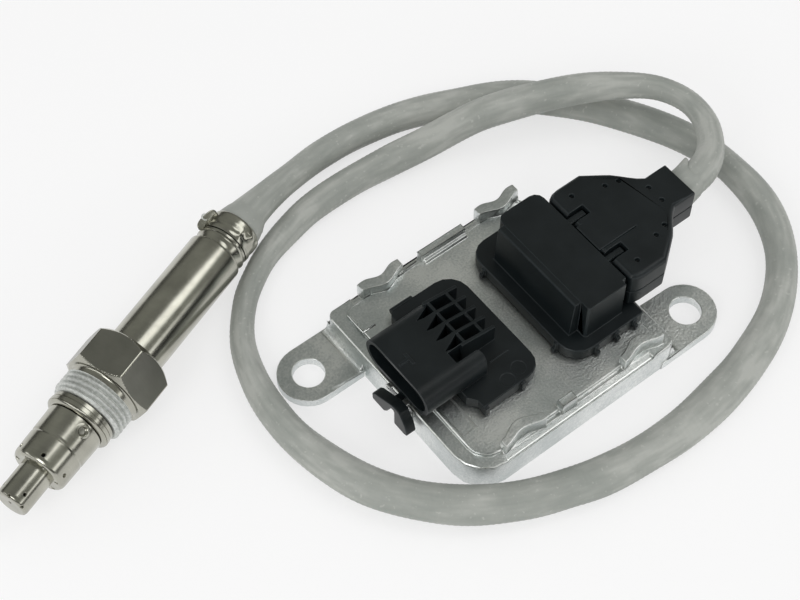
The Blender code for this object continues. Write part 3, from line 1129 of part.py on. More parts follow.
def hexagon_body():
    """The screw-in body: hexagon, neck and threaded part, with a spigot at each end and a through bore."""
    corner = HEX_FLATS / math.sqrt(3)
    body = cylinder("hexagon_body", corner, (0, 0, HEX_FRONT), (0, 0, 0), STEEL, PROBE, steps=6)
    face = HEX_FLATS / 2 - 0.0002
    rounding = turned("hexagon_chamfer", [(0.0, 0.0), (face, 0.0), (corner + 0.0002, -HEX_CHAMFER),
                                          (corner + 0.0002, HEX_FRONT + HEX_CHAMFER), (face, HEX_FRONT),
                                          (0.0, HEX_FRONT)])
    boolean(body, rounding, "INTERSECT")
    rear = TUBE_BORE - GAP
    shaft = turned("body_shaft", [(0.0, BODY_SOCKET), (rear, BODY_SOCKET), (rear, -0.001),
                                  (rear, HEX_FRONT + 0.001), (NECK_RADIUS, HEX_FRONT + 0.001),
                                  (NECK_RADIUS, NECK_FRONT), (THREAD_RADIUS, NECK_FRONT - 0.0005),
                                  (THREAD_RADIUS, THREAD_FRONT + 0.0006),
                                  (THREAD_RADIUS - 0.0006, THREAD_FRONT), (FRONT_SPIGOT_RADIUS, THREAD_FRONT),
                                  (FRONT_SPIGOT_RADIUS, SPIGOT_FRONT), (0.0, SPIGOT_FRONT)])
    join(body, shaft)
    cut(body, cylinder("body_bore", BODY_BORE, (0, 0, SPIGOT_FRONT - 0.001), (0, 0, BODY_SOCKET + 0.001),
                       parent=PROBE, steps=24))


def small_holes(target, tag, radius, length, count, reach, turn=0.0):
    """A ring of round holes drilled from outside towards the axis."""
    for i in range(count):
        angle = math.radians(turn) + 2 * math.pi * i / count
        inside = (math.cos(angle) * (radius - reach), math.sin(angle) * (radius - reach), length)
        outside = (math.cos(angle) * (radius + 0.001), math.sin(angle) * (radius + 0.001), length)
        cut(target, cylinder("%s_%d" % (tag, i), CAP_HOLE, inside, outside, parent=PROBE, steps=8))


def end_holes(target, tag, radius, length, count, turn=0.0):
    """Round holes through an end face, on a circle about the axis."""
    for i in range(count):
        angle = math.radians(turn) + 2 * math.pi * i / count
        x = math.cos(angle) * radius
        y = math.sin(angle) * radius
        cut(target, cylinder("%s_%d" % (tag, i), CAP_HOLE, (x, y, length - 0.001), (x, y, length + 0.002),
                             parent=PROBE, steps=8))


def build_caps():
    collar_back = THREAD_FRONT - GAP
    collar_front = collar_back - COLLAR_LENGTH
    bore = FRONT_SPIGOT_RADIUS + GAP
    turned("sealing_collar", [(COLLAR_RADIUS - 0.0003, collar_back), (COLLAR_RADIUS, collar_back - 0.0003),
                              (COLLAR_RADIUS, collar_front + 0.0008), (COLLAR_RADIUS - 0.0009, collar_front),
                              (bore, collar_front), (bore, collar_back)], STEEL, closed=True)
    back = collar_front - GAP
    wide = OUTER_CAP_RADIUS
    slim = OUTER_CAP_RADIUS - OUTER_CAP_TAPER
    wall = OUTER_CAP_WALL
    mouth = INNER_CAP_RADIUS + GAP
    outer = turned("outer_cap", [(wide, back), (slim, OUTER_CAP_FRONT + 0.0014),
                                 (slim - 0.0005, OUTER_CAP_FRONT + 0.0004), (slim - 0.0014, OUTER_CAP_FRONT),
                                 (mouth, OUTER_CAP_FRONT), (mouth, OUTER_CAP_FRONT + wall),
                                 (slim - wall - 0.0008, OUTER_CAP_FRONT + wall),
                                 (slim - wall, OUTER_CAP_FRONT + 0.0016), (wide - wall, back)],
                   STEEL, closed=True)
    small_holes(outer, "outer_cap_hole", wide, OUTER_CAP_FRONT + 0.0042, OUTER_CAP_HOLES, 0.002, 12.0)
    end_holes(outer, "outer_cap_end_hole", (mouth + slim) / 2 - 0.0002, OUTER_CAP_FRONT, 6, 20.0)
    foot = SPIGOT_FRONT - GAP
    wall = INNER_CAP_WALL
    radius = INNER_CAP_RADIUS
    flare = OUTER_CAP_RADIUS - OUTER_CAP_WALL - 2 * GAP
    inner = turned("inner_cap", [(flare, foot), (flare, foot - INNER_CAP_FOOT),
                                 (radius, foot - INNER_CAP_FOOT),
                                 (radius, INNER_CAP_FRONT + 0.0008), (radius - 0.0008, INNER_CAP_FRONT),
                                 (0.0, INNER_CAP_FRONT), (0.0, INNER_CAP_FRONT + wall),
                                 (radius - wall, INNER_CAP_FRONT + wall), (radius - wall, foot)],
                   STEEL, closed=True, steps=32)
    end_holes(inner, "inner_cap_end_hole", radius * 0.55, INNER_CAP_FRONT, INNER_CAP_HOLES, 40.0)
    small_holes(inner, "inner_cap_hole", radius, INNER_CAP_FRONT + 0.0045, 4, 0.002, 30.0)


def build_inside():
    """The ceramic element and the bushes that hold it, down the bore of the body."""
    half_w = ELEMENT_WIDTH / 2
    half_t = ELEMENT_THICKNESS / 2
    box("sensing_element", (-half_t, -half_w, ELEMENT_FRONT), (half_t, half_w, ELEMENT_BACK), CERAMIC, PROBE)
    slot = (-half_t - GAP, -half_w - GAP)
    for name, front, back in BUSH_SPANS:
        bush = turned(name, [(0.0, back), (BODY_BORE - GAP, back), (BODY_BORE - GAP, front), (0.0, front)],
                      CERAMIC, steps=24)
        high = (-slot[0], -slot[1], back + 0.001)
        cut(bush, box(name + "_slot", (*slot, front - 0.001), high, parent=PROBE))
    radius = TUBE_BORE - GAP
    holder = turned("contact_holder", [(0.0, HOLDER_TO), (radius, HOLDER_TO), (radius, HOLDER_FROM),
                                       (0.0, HOLDER_FROM)], CERAMIC, steps=24)
    cut(holder, box("contact_slot", (*slot, HOLDER_FROM - 0.001),
                    (-slot[0], -slot[1], HOLDER_FROM + HOLDER_SLOT), parent=PROBE))


def build_probe_tube():
    groove = TUBE_GROOVE_RADIUS
    bore = TUBE_BORE
    end_bore = groove - TUBE_END_WALL
    turned("probe_tube", [(groove + 0.0002, TUBE_END), (groove + 0.0003, TUBE_END - 0.0007),
                          (groove, TUBE_END - 0.0010), (groove + 0.0003, TUBE_END - 0.0016),
                          (groove, TUBE_END - 0.0022), (groove, TUBE_SHOULDER + 0.0005),
                          (TUBE_RADIUS - 0.0002, TUBE_SHOULDER), (TUBE_RADIUS, TUBE_SHOULDER - 0.0005),
                          (TUBE_RADIUS, GAP), (bore, GAP), (bore, TUBE_SHOULDER - 0.0008),
                          (end_bore, TUBE_SHOULDER), (end_bore, TUBE_END)], STEEL, closed=True)
    inside = end_bore - GAP
    under_band = BAND_RADIUS - BAND_WALL - GAP
    turned("cable_grommet", [(0.0, GROMMET_END), (GROMMET_TIP_RADIUS, GROMMET_END), (under_band, BAND_END),
                             (under_band, BAND_START), (inside, BAND_START - 0.0002),
                             (inside, GROMMET_INSIDE),
                             (0.0, GROMMET_INSIDE)], RUBBER, steps=32)
    outer = BAND_RADIUS
    wall = BAND_WALL
    band = turned("crimp_band", [(outer, BAND_END), (outer, BAND_START), (outer - wall, BAND_START),
                                 (outer - wall, BAND_END)], STEEL, closed=True)
    middle = (BAND_START + BAND_END) / 2
    half = TONGUE_LENGTH / 2
    low = (outer - wall / 2, -half, middle - TONGUE_WIDTH / 2)
    high = (outer + TONGUE_THICKNESS, half, middle + TONGUE_WIDTH / 2)
    tongue = box("band_tongue", low, high, parent=PROBE)
    tongue.rotation_euler = (0.0, 0.0, math.radians(TONGUE_ANGLE))
    join(band, tongue)
    low = (outer - wall / 2, -0.0010, BAND_START + 0.0002)
    lower = box("band_ear", low, (outer + 0.0012, 0.0010, middle), parent=PROBE)
    lower.rotation_euler = (0.0, 0.0, math.radians(-62.0))
    join(band, lower)


build_housing()
build_base()
build_board()
build_vehicle_header()
build_lock_clip()
build_probe_header()
build_carrier()
build_boot()
build_cable()
hexagon_body()
build_caps()
build_inside()
build_probe_tube()
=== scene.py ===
# %% [markdown]
# # A nitrogen oxide sensor in Blender
# The object is a gas probe for a lorry's exhaust, a flat control unit and the sleeved cable between them.
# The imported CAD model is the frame: it says where everything is. This file gives the frame its looks.
# Each cell explains what a piece is on the real object, then makes it.

# %% Load the frame
import math

import bmesh
import bpy
import numpy as np
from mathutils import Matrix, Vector


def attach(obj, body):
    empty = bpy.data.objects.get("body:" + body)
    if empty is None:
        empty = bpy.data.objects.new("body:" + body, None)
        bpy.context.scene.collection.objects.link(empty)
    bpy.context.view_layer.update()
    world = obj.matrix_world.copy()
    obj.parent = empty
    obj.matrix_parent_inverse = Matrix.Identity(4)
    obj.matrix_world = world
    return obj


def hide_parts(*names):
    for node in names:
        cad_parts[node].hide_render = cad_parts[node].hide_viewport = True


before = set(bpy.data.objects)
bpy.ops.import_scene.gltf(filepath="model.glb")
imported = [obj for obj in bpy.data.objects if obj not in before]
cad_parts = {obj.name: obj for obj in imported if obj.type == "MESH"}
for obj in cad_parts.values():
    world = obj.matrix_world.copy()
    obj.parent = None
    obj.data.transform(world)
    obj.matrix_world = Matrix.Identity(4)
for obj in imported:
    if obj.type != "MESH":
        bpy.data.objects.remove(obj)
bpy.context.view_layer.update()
print("nodes in the frame:", len(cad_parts))

# %% [markdown]
# ## Camera
# The photograph looks down on the sensor at 57 degrees, from the corner between the two connectors.
# The control unit's straight edges gave the position and the lens, so the camera is set from those numbers.

# %% Camera
CAMERA_PLACE = Vector((-0.1738, -0.1802, 0.4079))
CAMERA_AZIMUTH = math.radians(-38.05)
CAMERA_ELEVATION = math.radians(57.11)
LENS_MM = 82.13

camera_data = bpy.data.cameras.new("photo_camera")
camera_data.lens = LENS_MM
camera_data.sensor_width = 36.0
camera_data.clip_start = 0.01
camera = bpy.data.objects.new("photo_camera", camera_data)
bpy.context.scene.collection.objects.link(camera)
towards_camera = Vector((math.sin(CAMERA_AZIMUTH) * math.cos(CAMERA_ELEVATION),
                         -math.cos(CAMERA_AZIMUTH) * math.cos(CAMERA_ELEVATION),
                         math.sin(CAMERA_ELEVATION)))
camera.location = CAMERA_PLACE
camera.rotation_euler = (-towards_camera).to_track_quat("-Z", "Y").to_euler()
bpy.context.scene.camera = camera
print("camera stands", round(CAMERA_PLACE.length * 1000), "mm from the control unit")

# %% [markdown]
# ## Helpers for surfaces
# Most new pieces are a grid of points: one direction runs along the piece and the other round it.
# One function puts such a grid into a mesh, and another hangs the finished piece on the frame.

# %% Surface helpers
def grid_faces(rows, columns, wrap_rows=False):
    """Quads of a grid, as one array: each takes a point, its neighbour round, and the two in the next row."""
    i = np.arange(rows if wrap_rows else rows - 1)[:, None]
    j = np.arange(columns)[None, :]
    next_i = (i + 1) % rows
    next_j = (j + 1) % columns
    quads = [i * columns + j, i * columns + next_j, next_i * columns + next_j, next_i * columns + j]
    return np.stack(quads, axis=-1).reshape(-1, 4)


def make_surface(name, grid, wrap_rows=False, sharp=40.0):
    """A mesh from an array of rows, columns and xyz. Unless the rows wrap, a fan to its middle closes each end."""
    rows, columns = grid.shape[:2]
    points = grid.reshape(-1, 3)
    faces = grid_faces(rows, columns, wrap_rows).tolist()
    if not wrap_rows:
        first = len(points)
        points = np.vstack([points, grid[0].mean(axis=0), grid[-1].mean(axis=0)])
        j = np.arange(columns)
        after = (j + 1) % columns
        last_row = (rows - 1) * columns
        faces += np.stack([np.full(columns, first), after, j], axis=-1).tolist()
        faces += np.stack([np.full(columns, first + 1), last_row + j, last_row + after], axis=-1).tolist()
    mesh = bpy.data.meshes.new(name)
    mesh.from_pydata(points.tolist(), [], faces)
    mesh.update()
    mesh.shade_smooth()
    mesh.set_sharp_from_angle(angle=math.radians(sharp))
    return mesh


def add_piece(name, mesh, material, nodes=()):
    """Link a mesh, give it its finish, and let it ride on the one rigid body."""
    piece = bpy.data.objects.new(name, mesh)
    bpy.context.scene.collection.objects.link(piece)
    piece.data.materials.clear()
    piece.data.materials.append(material)
    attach(piece, "root")
    if nodes:
        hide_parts(*nodes)
    return piece


def smooth_curve(points, spacing):
    """Even steps along a Catmull-Rom curve: each span blends its two ends by cubics that keep their slopes."""
    given = np.asarray(points, float)
    before = np.vstack([given[:1], given[:-2]])
    after = np.vstack([given[2:], given[-1:]])
    t = np.linspace(0.0, 1.0, 24, endpoint=False)[None, :, None]
    start = given[:-1, None]
    end = given[1:, None]
    spans = 0.5 * (before[:, None] * (-t + 2 * t ** 2 - t ** 3) + start * (2 - 5 * t ** 2 + 3 * t ** 3)
                   + end * (t + 4 * t ** 2 - 3 * t ** 3) + after[:, None] * (t ** 3 - t ** 2))
    dense = np.vstack([spans.reshape(-1, given.shape[1]), given[-1:]])
    steps = np.linalg.norm(np.diff(dense[:, :3], axis=0), axis=1)
    lengths = np.concatenate([[0.0], np.cumsum(steps)])
    even = np.linspace(0.0, lengths[-1], int(lengths[-1] / spacing) + 1)
    return np.stack([np.interp(even, lengths, dense[:, k]) for k in range(dense.shape[1])], axis=-1), even


# %% [markdown]
# ## Helpers for materials
# Every material is a small node tree on a Principled shader.
# Colours are written as sRGB hex values, as a colour picker shows them, and one function turns them to linear.

# %% Material helpers
def linear(hex_colour):
    """sRGB to linear light: the lowest values are divided by 12.92 and the rest follow a 2.4 power curve."""
    values = [int(hex_colour[i:i + 2], 16) / 255 for i in (0, 2, 4)]
    return [v / 12.92 if v <= 0.04045 else ((v + 0.055) / 1.055) ** 2.4 for v in values] + [1.0]


def add_node(tree, kind, settings=None, links=None):
    """Add a node. A setting's key is an input's name or number, or else an attribute of the node."""
    item = tree.nodes.new("ShaderNode" + kind)
    for key, value in (settings or {}).items():
        if isinstance(key, int) or key in item.inputs:
            item.inputs[key].default_value = value
        else:
            setattr(item, key, value)
    for key, socket in (links or {}).items():
        tree.links.new(socket, item.inputs[key])
    return item


def start_material(name, settings):
    """A new material: its tree, its shader with the constants on its own sockets, and the place on the object."""
    material = bpy.data.materials.new(name)
    material.use_nodes = True
    tree = material.node_tree
    shader = tree.nodes["Principled BSDF"]
    for key, value in settings.items():
        shader.inputs[key].default_value = value
    return material, tree, shader, add_node(tree, "TexCoord").outputs["Object"]


def ramp(tree, factor, stops):
    """A colour ramp: pairs of position and hex colour."""
    item = add_node(tree, "ValToRGB", links={"Fac": factor})
    elements = item.color_ramp.elements
    while len(elements) < len(stops):
        elements.new(0.5)
    for element, (position, colour) in zip(elements, stops):
        element.position = position
        element.color = linear(colour)
    return item.outputs["Color"]


MM = 0.001


def per_mm(size):
    """A texture scale whose features are that many millimetres across."""
    return 1.0 / (size * MM)


def noise(tree, place, size, detail=2.0):
    """Smooth noise whose features are that many millimetres across."""
    return add_node(tree, "TexNoise", {"Scale": per_mm(size), "Detail": detail}, {"Vector": place}).outputs["Fac"]


def weighted(tree, first, weight, second):
    """first * weight + second."""
    return add_node(tree, "Math", {"operation": "MULTIPLY_ADD", 1: weight}, {0: first, 2: second}).outputs[0]


def link_looks(tree, shader, colour, roughness, rough_by, bump, height):
    """Link a colour, a roughness that a texture moves between two values, and a bump with its strength and depth."""
    tree.links.new(colour, shader.inputs["Base Color"])
    rough = add_node(tree, "MapRange", {"To Min": roughness[0], "To Max": roughness[1]}, {"Value": rough_by})
    tree.links.new(rough.outputs[0], shader.inputs["Roughness"])
    raised = add_node(tree, "Bump", {"Strength": bump[0], "Distance": bump[1] * MM}, {"Height": height})
    tree.links.new(raised.outputs[0], shader.inputs["Normal"])


# %% [markdown]
# ## Die-cast aluminium
# The housing is pressure die-cast and left raw after blasting, so it is a matt grey metal.
# Blasting leaves a fine sparkling grain, and the metal's flow leaves faint cloudy patches.
# Noise at two scales gives both: about half a millimetre for the grain and 14 mm for the clouds.

# %% Cast aluminium
def cast_aluminium(name, colours, roughness, bump_strength):
    material, tree, shader, place = start_material(name, {"Metallic": 1.0})
    grain = noise(tree, place, 0.55, 4.0)
    clouds = noise(tree, place, 14.0, 4.0)
    colour = ramp(tree, weighted(tree, grain, 0.6, clouds), [(0.60, colours[0]), (0.80, colours[1]), (1.0, colours[2])])
    link_looks(tree, shader, colour, (roughness - 0.08, roughness + 0.08), grain, (bump_strength, 0.10), grain)
    return material


# %% [markdown]
# ## Stainless steel
# The probe's body, tube and caps are turned or drawn from stainless steel and lightly brushed.
# The tool runs round the piece, so its fine lines do too, a quarter of a millimetre apart.
# Noise that is squeezed along the probe's axis draws them.

# %% Stainless steel
PROBE_TURN = math.radians(20.0)


def turned_steel(name, colours, roughness):
    material, tree, shader, place = start_material(name, {"Metallic": 1.0})
    along = add_node(tree, "Mapping", {"vector_type": "TEXTURE", "Rotation": (0.0, 0.0, PROBE_TURN),
                                       "Scale": (1.0, 30.0, 30.0)}, {"Vector": place}).outputs[0]
    lines = noise(tree, along, 0.25)
    clouds = noise(tree, place, 6.0, 3.0)
    colour = ramp(tree, weighted(tree, lines, 0.2, clouds), [(0.40, colours[0]), (0.80, colours[1])])
    link_looks(tree, shader, colour, (roughness - 0.03, roughness + 0.05), lines, (0.4, 0.005), lines)
    return material


# %% [markdown]
# ## Glass-filled polyester
# Both headers and the plug are injection moulded from a black, glass-filled polyester.
# The mould is finely eroded, so the plastic has a dull skin with a grain of about 0.3 mm.
# Over some 8 mm it turns a little glossier and back again.

# %% Black plastic
def black_plastic(name, low, high, roughness):
    material, tree, shader, place = start_material(name, {"IOR": 1.57, "Specular IOR Level": 0.27})
    grain = noise(tree, place, 0.30)
    clouds = noise(tree, place, 8.0, 3.0)
    colour = ramp(tree, clouds, [(0.35, low), (0.70, high)])
    link_looks(tree, shader, colour, (roughness - 0.06, roughness + 0.08), clouds, (0.35, 0.02), grain)
    return material


# %% [markdown]
# ## Silicone-coated glass sleeve
# The cable's wires lie in a sleeve of braided glass yarn with a grey silicone coat.
# The braid's rings are in the tube's own shape, so the finish adds what is finer or has no height:
# a soft grain of about 0.6 mm, cloudy wear over 20 mm, paler streaks of 2 by 9 mm along the sleeve
# where it has been rubbed, and pale specks of 1 mm.
# The streaks follow the tube's own UV map, which counts millimetres along it and round it.

# %% Cable sleeve
def coated_sleeve():
    looks = {"IOR": 1.43, "Specular IOR Level": 0.35}
    material, tree, shader, place = start_material("silicone_coated_glass_sleeve", looks)
    uv = add_node(tree, "UVMap", {"uv_map": "along_and_round"}).outputs[0]
    squeezed = add_node(tree, "Mapping", {"Scale": (0.22, 1.0, 1.0)}, {"Vector": uv}).outputs[0]
    streaks = add_node(tree, "TexNoise", {"Scale": 0.5, "Detail": 2.0, "noise_dimensions": "2D"},
                       {"Vector": squeezed}).outputs["Fac"]
    fine = noise(tree, place, 0.6, 3.0)
    worn = weighted(tree, streaks, 0.6, noise(tree, place, 20.0, 3.0))
    specks = add_node(tree, "MapRange", {"From Min": 0.67, "From Max": 0.75, "To Max": 0.26},
                      {"Value": noise(tree, place, 1.1, 1.0)}).outputs[0]
    worn = add_node(tree, "Math", {"operation": "ADD"}, {0: worn, 1: specks}).outputs[0]
    colour = ramp(tree, worn, [(0.60, "989c96"), (0.80, "a2a59f"), (1.0, "b3b5af")])
    link_looks(tree, shader, colour, (0.38, 0.56), fine, (0.30, 0.06), fine)
    return material


# %% [markdown]
# ## Rubber, brass, board and ceramic
# The small pieces inside get the same care: moulded rubber is dull, the pins are tinned and bright,
# the board has a solder mask, and fired ceramic is nearly white.

# %% Small materials
def plain_grained(name, low, high, roughness, metallic=0.0, grain_mm=0.5):
    material, tree, shader, place = start_material(name, {"Metallic": metallic})
    grain = noise(tree, place, grain_mm, 3.0)
    colour = ramp(tree, grain, [(0.35, low), (0.70, high)])
    link_looks(tree, shader, colour, (roughness - 0.05, roughness + 0.05), grain, (0.2, 0.02), grain)
    return material


CAST = cast_aluminium("die_cast_aluminium_blasted", ("bfc5c4", "d3d7d6", "eff1ef"), 0.34, 1.0)
# The paler edge aluminium is a painted highlight. The bevels, lug tops, keepers and eyelet take it for the light they
# catch.
CAST_EDGE_HIGHLIGHT = cast_aluminium("die_cast_aluminium_painted_edge_highlight", ("e0e3e1", "ecefed", "f7f8f7"), 0.30, 0.10)
STEEL = turned_steel("stainless_steel_turned", ("a3a298", "bab9ae"), 0.20)
BAR_STEEL = turned_steel("stainless_steel_drawn_bar", ("8f8f87", "9c9b93"), 0.30)
THREAD_STEEL = plain_grained("steel_thread_with_anti_seize_paste", "bcbfbb", "dcdeda", 0.45, metallic=0.5,
                             grain_mm=0.8)
PLASTIC = black_plastic("polyester_moulded_black", "101618", "171d1f", 0.38)
# The lighter edge plastic is a painted highlight on the bevels of the moulded pieces and the clip.
PLASTIC_EDGE_HIGHLIGHT = black_plastic("polyester_moulded_black_painted_edge_highlight", "1e2426", "272d2f", 0.34)
SLEEVE = coated_sleeve()
RUBBER = plain_grained("silicone_rubber_black", "161616", "1f1f1f", 0.75)
BRASS = plain_grained("tinned_brass", "b9b5a2", "d2cfc0", 0.28, metallic=1.0)
BOARD = plain_grained("solder_mask_green", "14452c", "1d5a3a", 0.40)
CERAMIC = plain_grained("fired_ceramic_white", "dedbd2", "ece9e1", 0.45)
SHEET = plain_grained("aluminium_sheet_rolled", "b2b4b2", "c6c8c5", 0.38, metallic=1.0, grain_mm=1.2)
print("materials:", len(bpy.data.materials))

# %% [markdown]
# ## The cable
# The sleeve is one tube from the plug's bore to the probe. It is soft, so it is wider than high where it lies,
# and it is squeezed thin where it bends round the plug. The strand from the plug lies on top at both crossings.
# The route is the CAD model's own list: x, y, z and half the height there. A fifth number is half the width seen.

# %% Cable route
PLUG_EXIT = (0.0585, -0.0015, 0.0215)
PROBE_SHOULDER = np.array([-0.0800, 0.0503, 0.0110])
AXIS = np.array([math.cos(PROBE_TURN), math.sin(PROBE_TURN), 0.0])
SIDE = np.array([-math.sin(PROBE_TURN), math.cos(PROBE_TURN), 0.0])
UP = np.array([0.0, 0.0, 1.0])
CABLE_DIAMETER = 0.0088
CABLE_ROUTE = (
    (0.0680, -0.0003, 0.0211, 0.0042, 0.0043),
    (0.0755, 0.0037, 0.0202, 0.0038, 0.0038),
    (0.0811, 0.0105, 0.0191, 0.0036, 0.0034),
    (0.0834, 0.0180, 0.0183, 0.0035, 0.0032),
    (0.0826, 0.0250, 0.0178, 0.0035, 0.0033),
    (0.0793, 0.0320, 0.0170, 0.0036, 0.0036),
    (0.0722, 0.0388, 0.0160, 0.0038, 0.0041),
    (0.0640, 0.0445, 0.0152, 0.0042, 0.0045),
    (0.0548, 0.0490, 0.0146, 0.0044, 0.0047),
    (0.0456, 0.0529, 0.0136, 0.0045, 0.0047),
    (0.0367, 0.0572, 0.0106, 0.0045, 0.0046),
    (0.0251, 0.0604, 0.0066, 0.0045, 0.0045),
    (0.0130, 0.0629, 0.0047, 0.0045, 0.0044),
    (0.0009, 0.0640, 0.0045, 0.0043, 0.0043),
    (-0.0119, 0.0638, 0.0043, 0.0041, 0.0041),
    (-0.0205, 0.0625, 0.0040, 0.0039, 0.0039),
    (-0.0299, 0.0598, 0.0037, 0.0035, 0.0035),
    (-0.0375, 0.0561, 0.0036, 0.0033, 0.0033),
    (-0.0455, 0.0499, 0.0036, 0.0033, 0.0033),
    (-0.0533, 0.0398, 0.0037, 0.0035, 0.0034),
    (-0.0576, 0.0274, 0.0041, 0.0039, 0.0038),
    (-0.0591, 0.0137, 0.0045, 0.0043, 0.0043),
    (-0.0576, 0.0015, 0.0046, 0.0045, 0.0046),
    (-0.0543, -0.0094, 0.0046, 0.0045, 0.0050),
    (-0.0491, -0.0192, 0.0046, 0.0045, 0.0051),
    (-0.0422, -0.0275, 0.0046, 0.0045, 0.0052),
    (-0.0339, -0.0345, 0.0046, 0.0045, 0.0053),
    (-0.0242, -0.0402, 0.0046, 0.0045, 0.0052),
    (-0.0137, -0.0442, 0.0046, 0.0045, 0.0051),
    (-0.0025, -0.0472, 0.0046, 0.0045, 0.0051),
    (0.0089, -0.0486, 0.0046, 0.0045, 0.0050),
    (0.0204, -0.0489, 0.0046, 0.0044, 0.0052),
    (0.0322, -0.0478, 0.0045, 0.0043, 0.0054),
    (0.0449, -0.0450, 0.0045, 0.0044, 0.0052),
    (0.0577, -0.0404, 0.0045, 0.0043, 0.0049),
    (0.0693, -0.0331, 0.0045, 0.0043, 0.0043),
    (0.0783, -0.0232, 0.0045, 0.0044, 0.0043),
    (0.0841, -0.0106, 0.0046, 0.0045, 0.0047),
    (0.0855, 0.0032, 0.0046, 0.0045, 0.0041),
    (0.0836, 0.0156, 0.0046, 0.0045, 0.0043),
    (0.0792, 0.0271, 0.0046, 0.0044, 0.0048),
    (0.0733, 0.0379, 0.0045, 0.0044, 0.0048),
    (0.0661, 0.0481, 0.0045, 0.0043, 0.0050),
    (0.0575, 0.0571, 0.0045, 0.0043, 0.0050),
    (0.0471, 0.0643, 0.0044, 0.0042, 0.0048),
    (0.0355, 0.0699, 0.0043, 0.0040, 0.0046),
    (0.0237, 0.0742, 0.0042, 0.0040, 0.0044),
    (0.0114, 0.0763, 0.0042, 0.0040, 0.0042),
    (-0.0014, 0.0758, 0.0056, 0.0040, 0.0040),
    (-0.0134, 0.0735, 0.0078, 0.0040, 0.0040),
    (-0.0218, 0.0712, 0.0096, 0.0042, 0.0042),
)


def on_probe(length, radius, angle):
    """A point by its length along the probe's axis, its distance from it and its angle from the side upwards."""
    length, radius, angle = np.broadcast_arrays(length, radius, angle)
    across = SIDE * np.cos(angle)[..., None] + UP * np.sin(angle)[..., None]
    return PROBE_SHOULDER + AXIS * length[..., None] + across * radius[..., None]


cable_ends = [tuple(on_probe(0.0536, 0.0, 0.0)) + (0.0050, 0.0050),
              tuple(on_probe(0.0503, 0.0, 0.0)) + (0.0058, 0.0060)]
cable_points = [(0.0530,) + PLUG_EXIT[1:] + (0.0043, 0.0043), PLUG_EXIT + (0.0043, 0.0045)]
cable_points += list(CABLE_ROUTE) + cable_ends
cable_line, cable_lengths = smooth_curve(cable_points, 0.00033)
print("cable length:", round(cable_lengths[-1] * 1000, 1), "mm")

# %% [markdown]
# Each ring of the tube is an ellipse across the route: its wide axis lies flat and its short axis points up.
# Two and three slow lobes round it are the wires under the sleeve. They wander as they go,
# and take the light as long ridges.
# A fine wave along the route, 1.45 mm long and 0.03 mm high, is the braid.

# %% Cable tube
CABLE_AROUND = 44
LOBE_HEIGHTS = (0.00009, 0.00006)
LUMP_HEIGHT = 0.00012
BRAID_HEIGHT = 0.00003
BRAID_LENGTH = 0.00145
PLAIN_END = 0.012


def waves(lengths, periods, seeds):
    """A smooth irregular wave: the mean of sine waves with these periods and starting phases."""
    phases = 2 * np.pi * lengths[:, None] / np.asarray(periods) + np.asarray(seeds)
    return np.sin(phases).mean(axis=1)


def cable_rings(line, lengths):
    """Rings of an ellipse: centre + width * cos(angle) * sideways + height * sin(angle) * upwards.
    Lobes and braid are added to both, and fade out near the two ends."""
    centre = line[:, :3]
    forward = np.gradient(centre, axis=0)
    forward /= np.linalg.norm(forward, axis=1)[:, None]
    sideways = np.cross(forward, UP)
    sideways /= np.linalg.norm(sideways, axis=1)[:, None]
    upwards = np.cross(sideways, forward)
    angle = np.linspace(0.0, 2 * np.pi, CABLE_AROUND, endpoint=False)
    lumps = waves(lengths, (0.031, 0.019, 0.047), (0.4, 2.1, 4.0)) * LUMP_HEIGHT
    ends = np.clip(np.minimum(lengths, lengths[-1] - lengths) / PLAIN_END, 0.0, 1.0)
    height = line[:, 3] - 0.00012
    width = line[:, 4] + lumps * ends - 0.00004
    turn = 1.6 * waves(lengths, (0.083, 0.037, 0.149), (1.0, 3.1, 5.2))
    lobes = (np.cos(3 * angle[None, :] + 2.2 * turn[:, None] + 0.6) * LOBE_HEIGHTS[0]
             + np.cos(2 * angle[None, :] - 1.5 * turn[:, None] + 2.0) * LOBE_HEIGHTS[1])
    uneven = 1.0 + 0.5 * waves(lengths, (0.0071, 0.0113, 0.0178), (0.2, 1.9, 4.4))
    braid = BRAID_HEIGHT * uneven * np.sin(2 * np.pi * lengths / BRAID_LENGTH)
    swell = (lobes + braid[:, None]) * ends[:, None]
    ring = (sideways[:, None] * ((width[:, None] + swell) * np.cos(angle))[..., None]
            + upwards[:, None] * ((height[:, None] + swell) * np.sin(angle))[..., None])
    return centre[:, None] + ring


def set_tube_uv(mesh, rows, columns, lengths, girth):
    """The tube's own map in millimetres: along the route for u, and round the tube for v."""
    corners = np.empty(len(mesh.loops), dtype=np.int32)
    mesh.loops.foreach_get("vertex_index", corners)
    row = np.minimum(corners // columns, rows - 1)
    column = corners % columns
    quads = (rows - 1) * columns * 4
    wraps = np.zeros(len(corners), dtype=bool)
    last_column = np.zeros(len(corners), dtype=bool)
    last_column[:quads] = (np.arange(quads) // 4) % columns == columns - 1
    wraps[last_column] = column[last_column] == 0
    u = lengths[row] / MM
    v = np.where(wraps, columns, column) / columns * girth / MM
    layer = mesh.uv_layers.new(name="along_and_round")
    layer.data.foreach_set("uv", np.stack([u, v], axis=-1).astype(np.float32).ravel())


cable_mesh = make_surface("cable_sleeve_tube", cable_rings(cable_line, cable_lengths), sharp=60.0)
set_tube_uv(cable_mesh, len(cable_line), CABLE_AROUND, cable_lengths, math.pi * CABLE_DIAMETER)
cable = add_piece("cable_sleeve_tube", cable_mesh, SLEEVE, ["cable_sleeve"])

# %% [markdown]
# ## The probe
# Everything on the probe is turned or drawn about one axis, so each piece is a profile carried round that axis.
# A profile is a list of lengths and radii in millimetres, measured from the hexagon's shoulder.

# %% Turned pieces
AROUND = 120


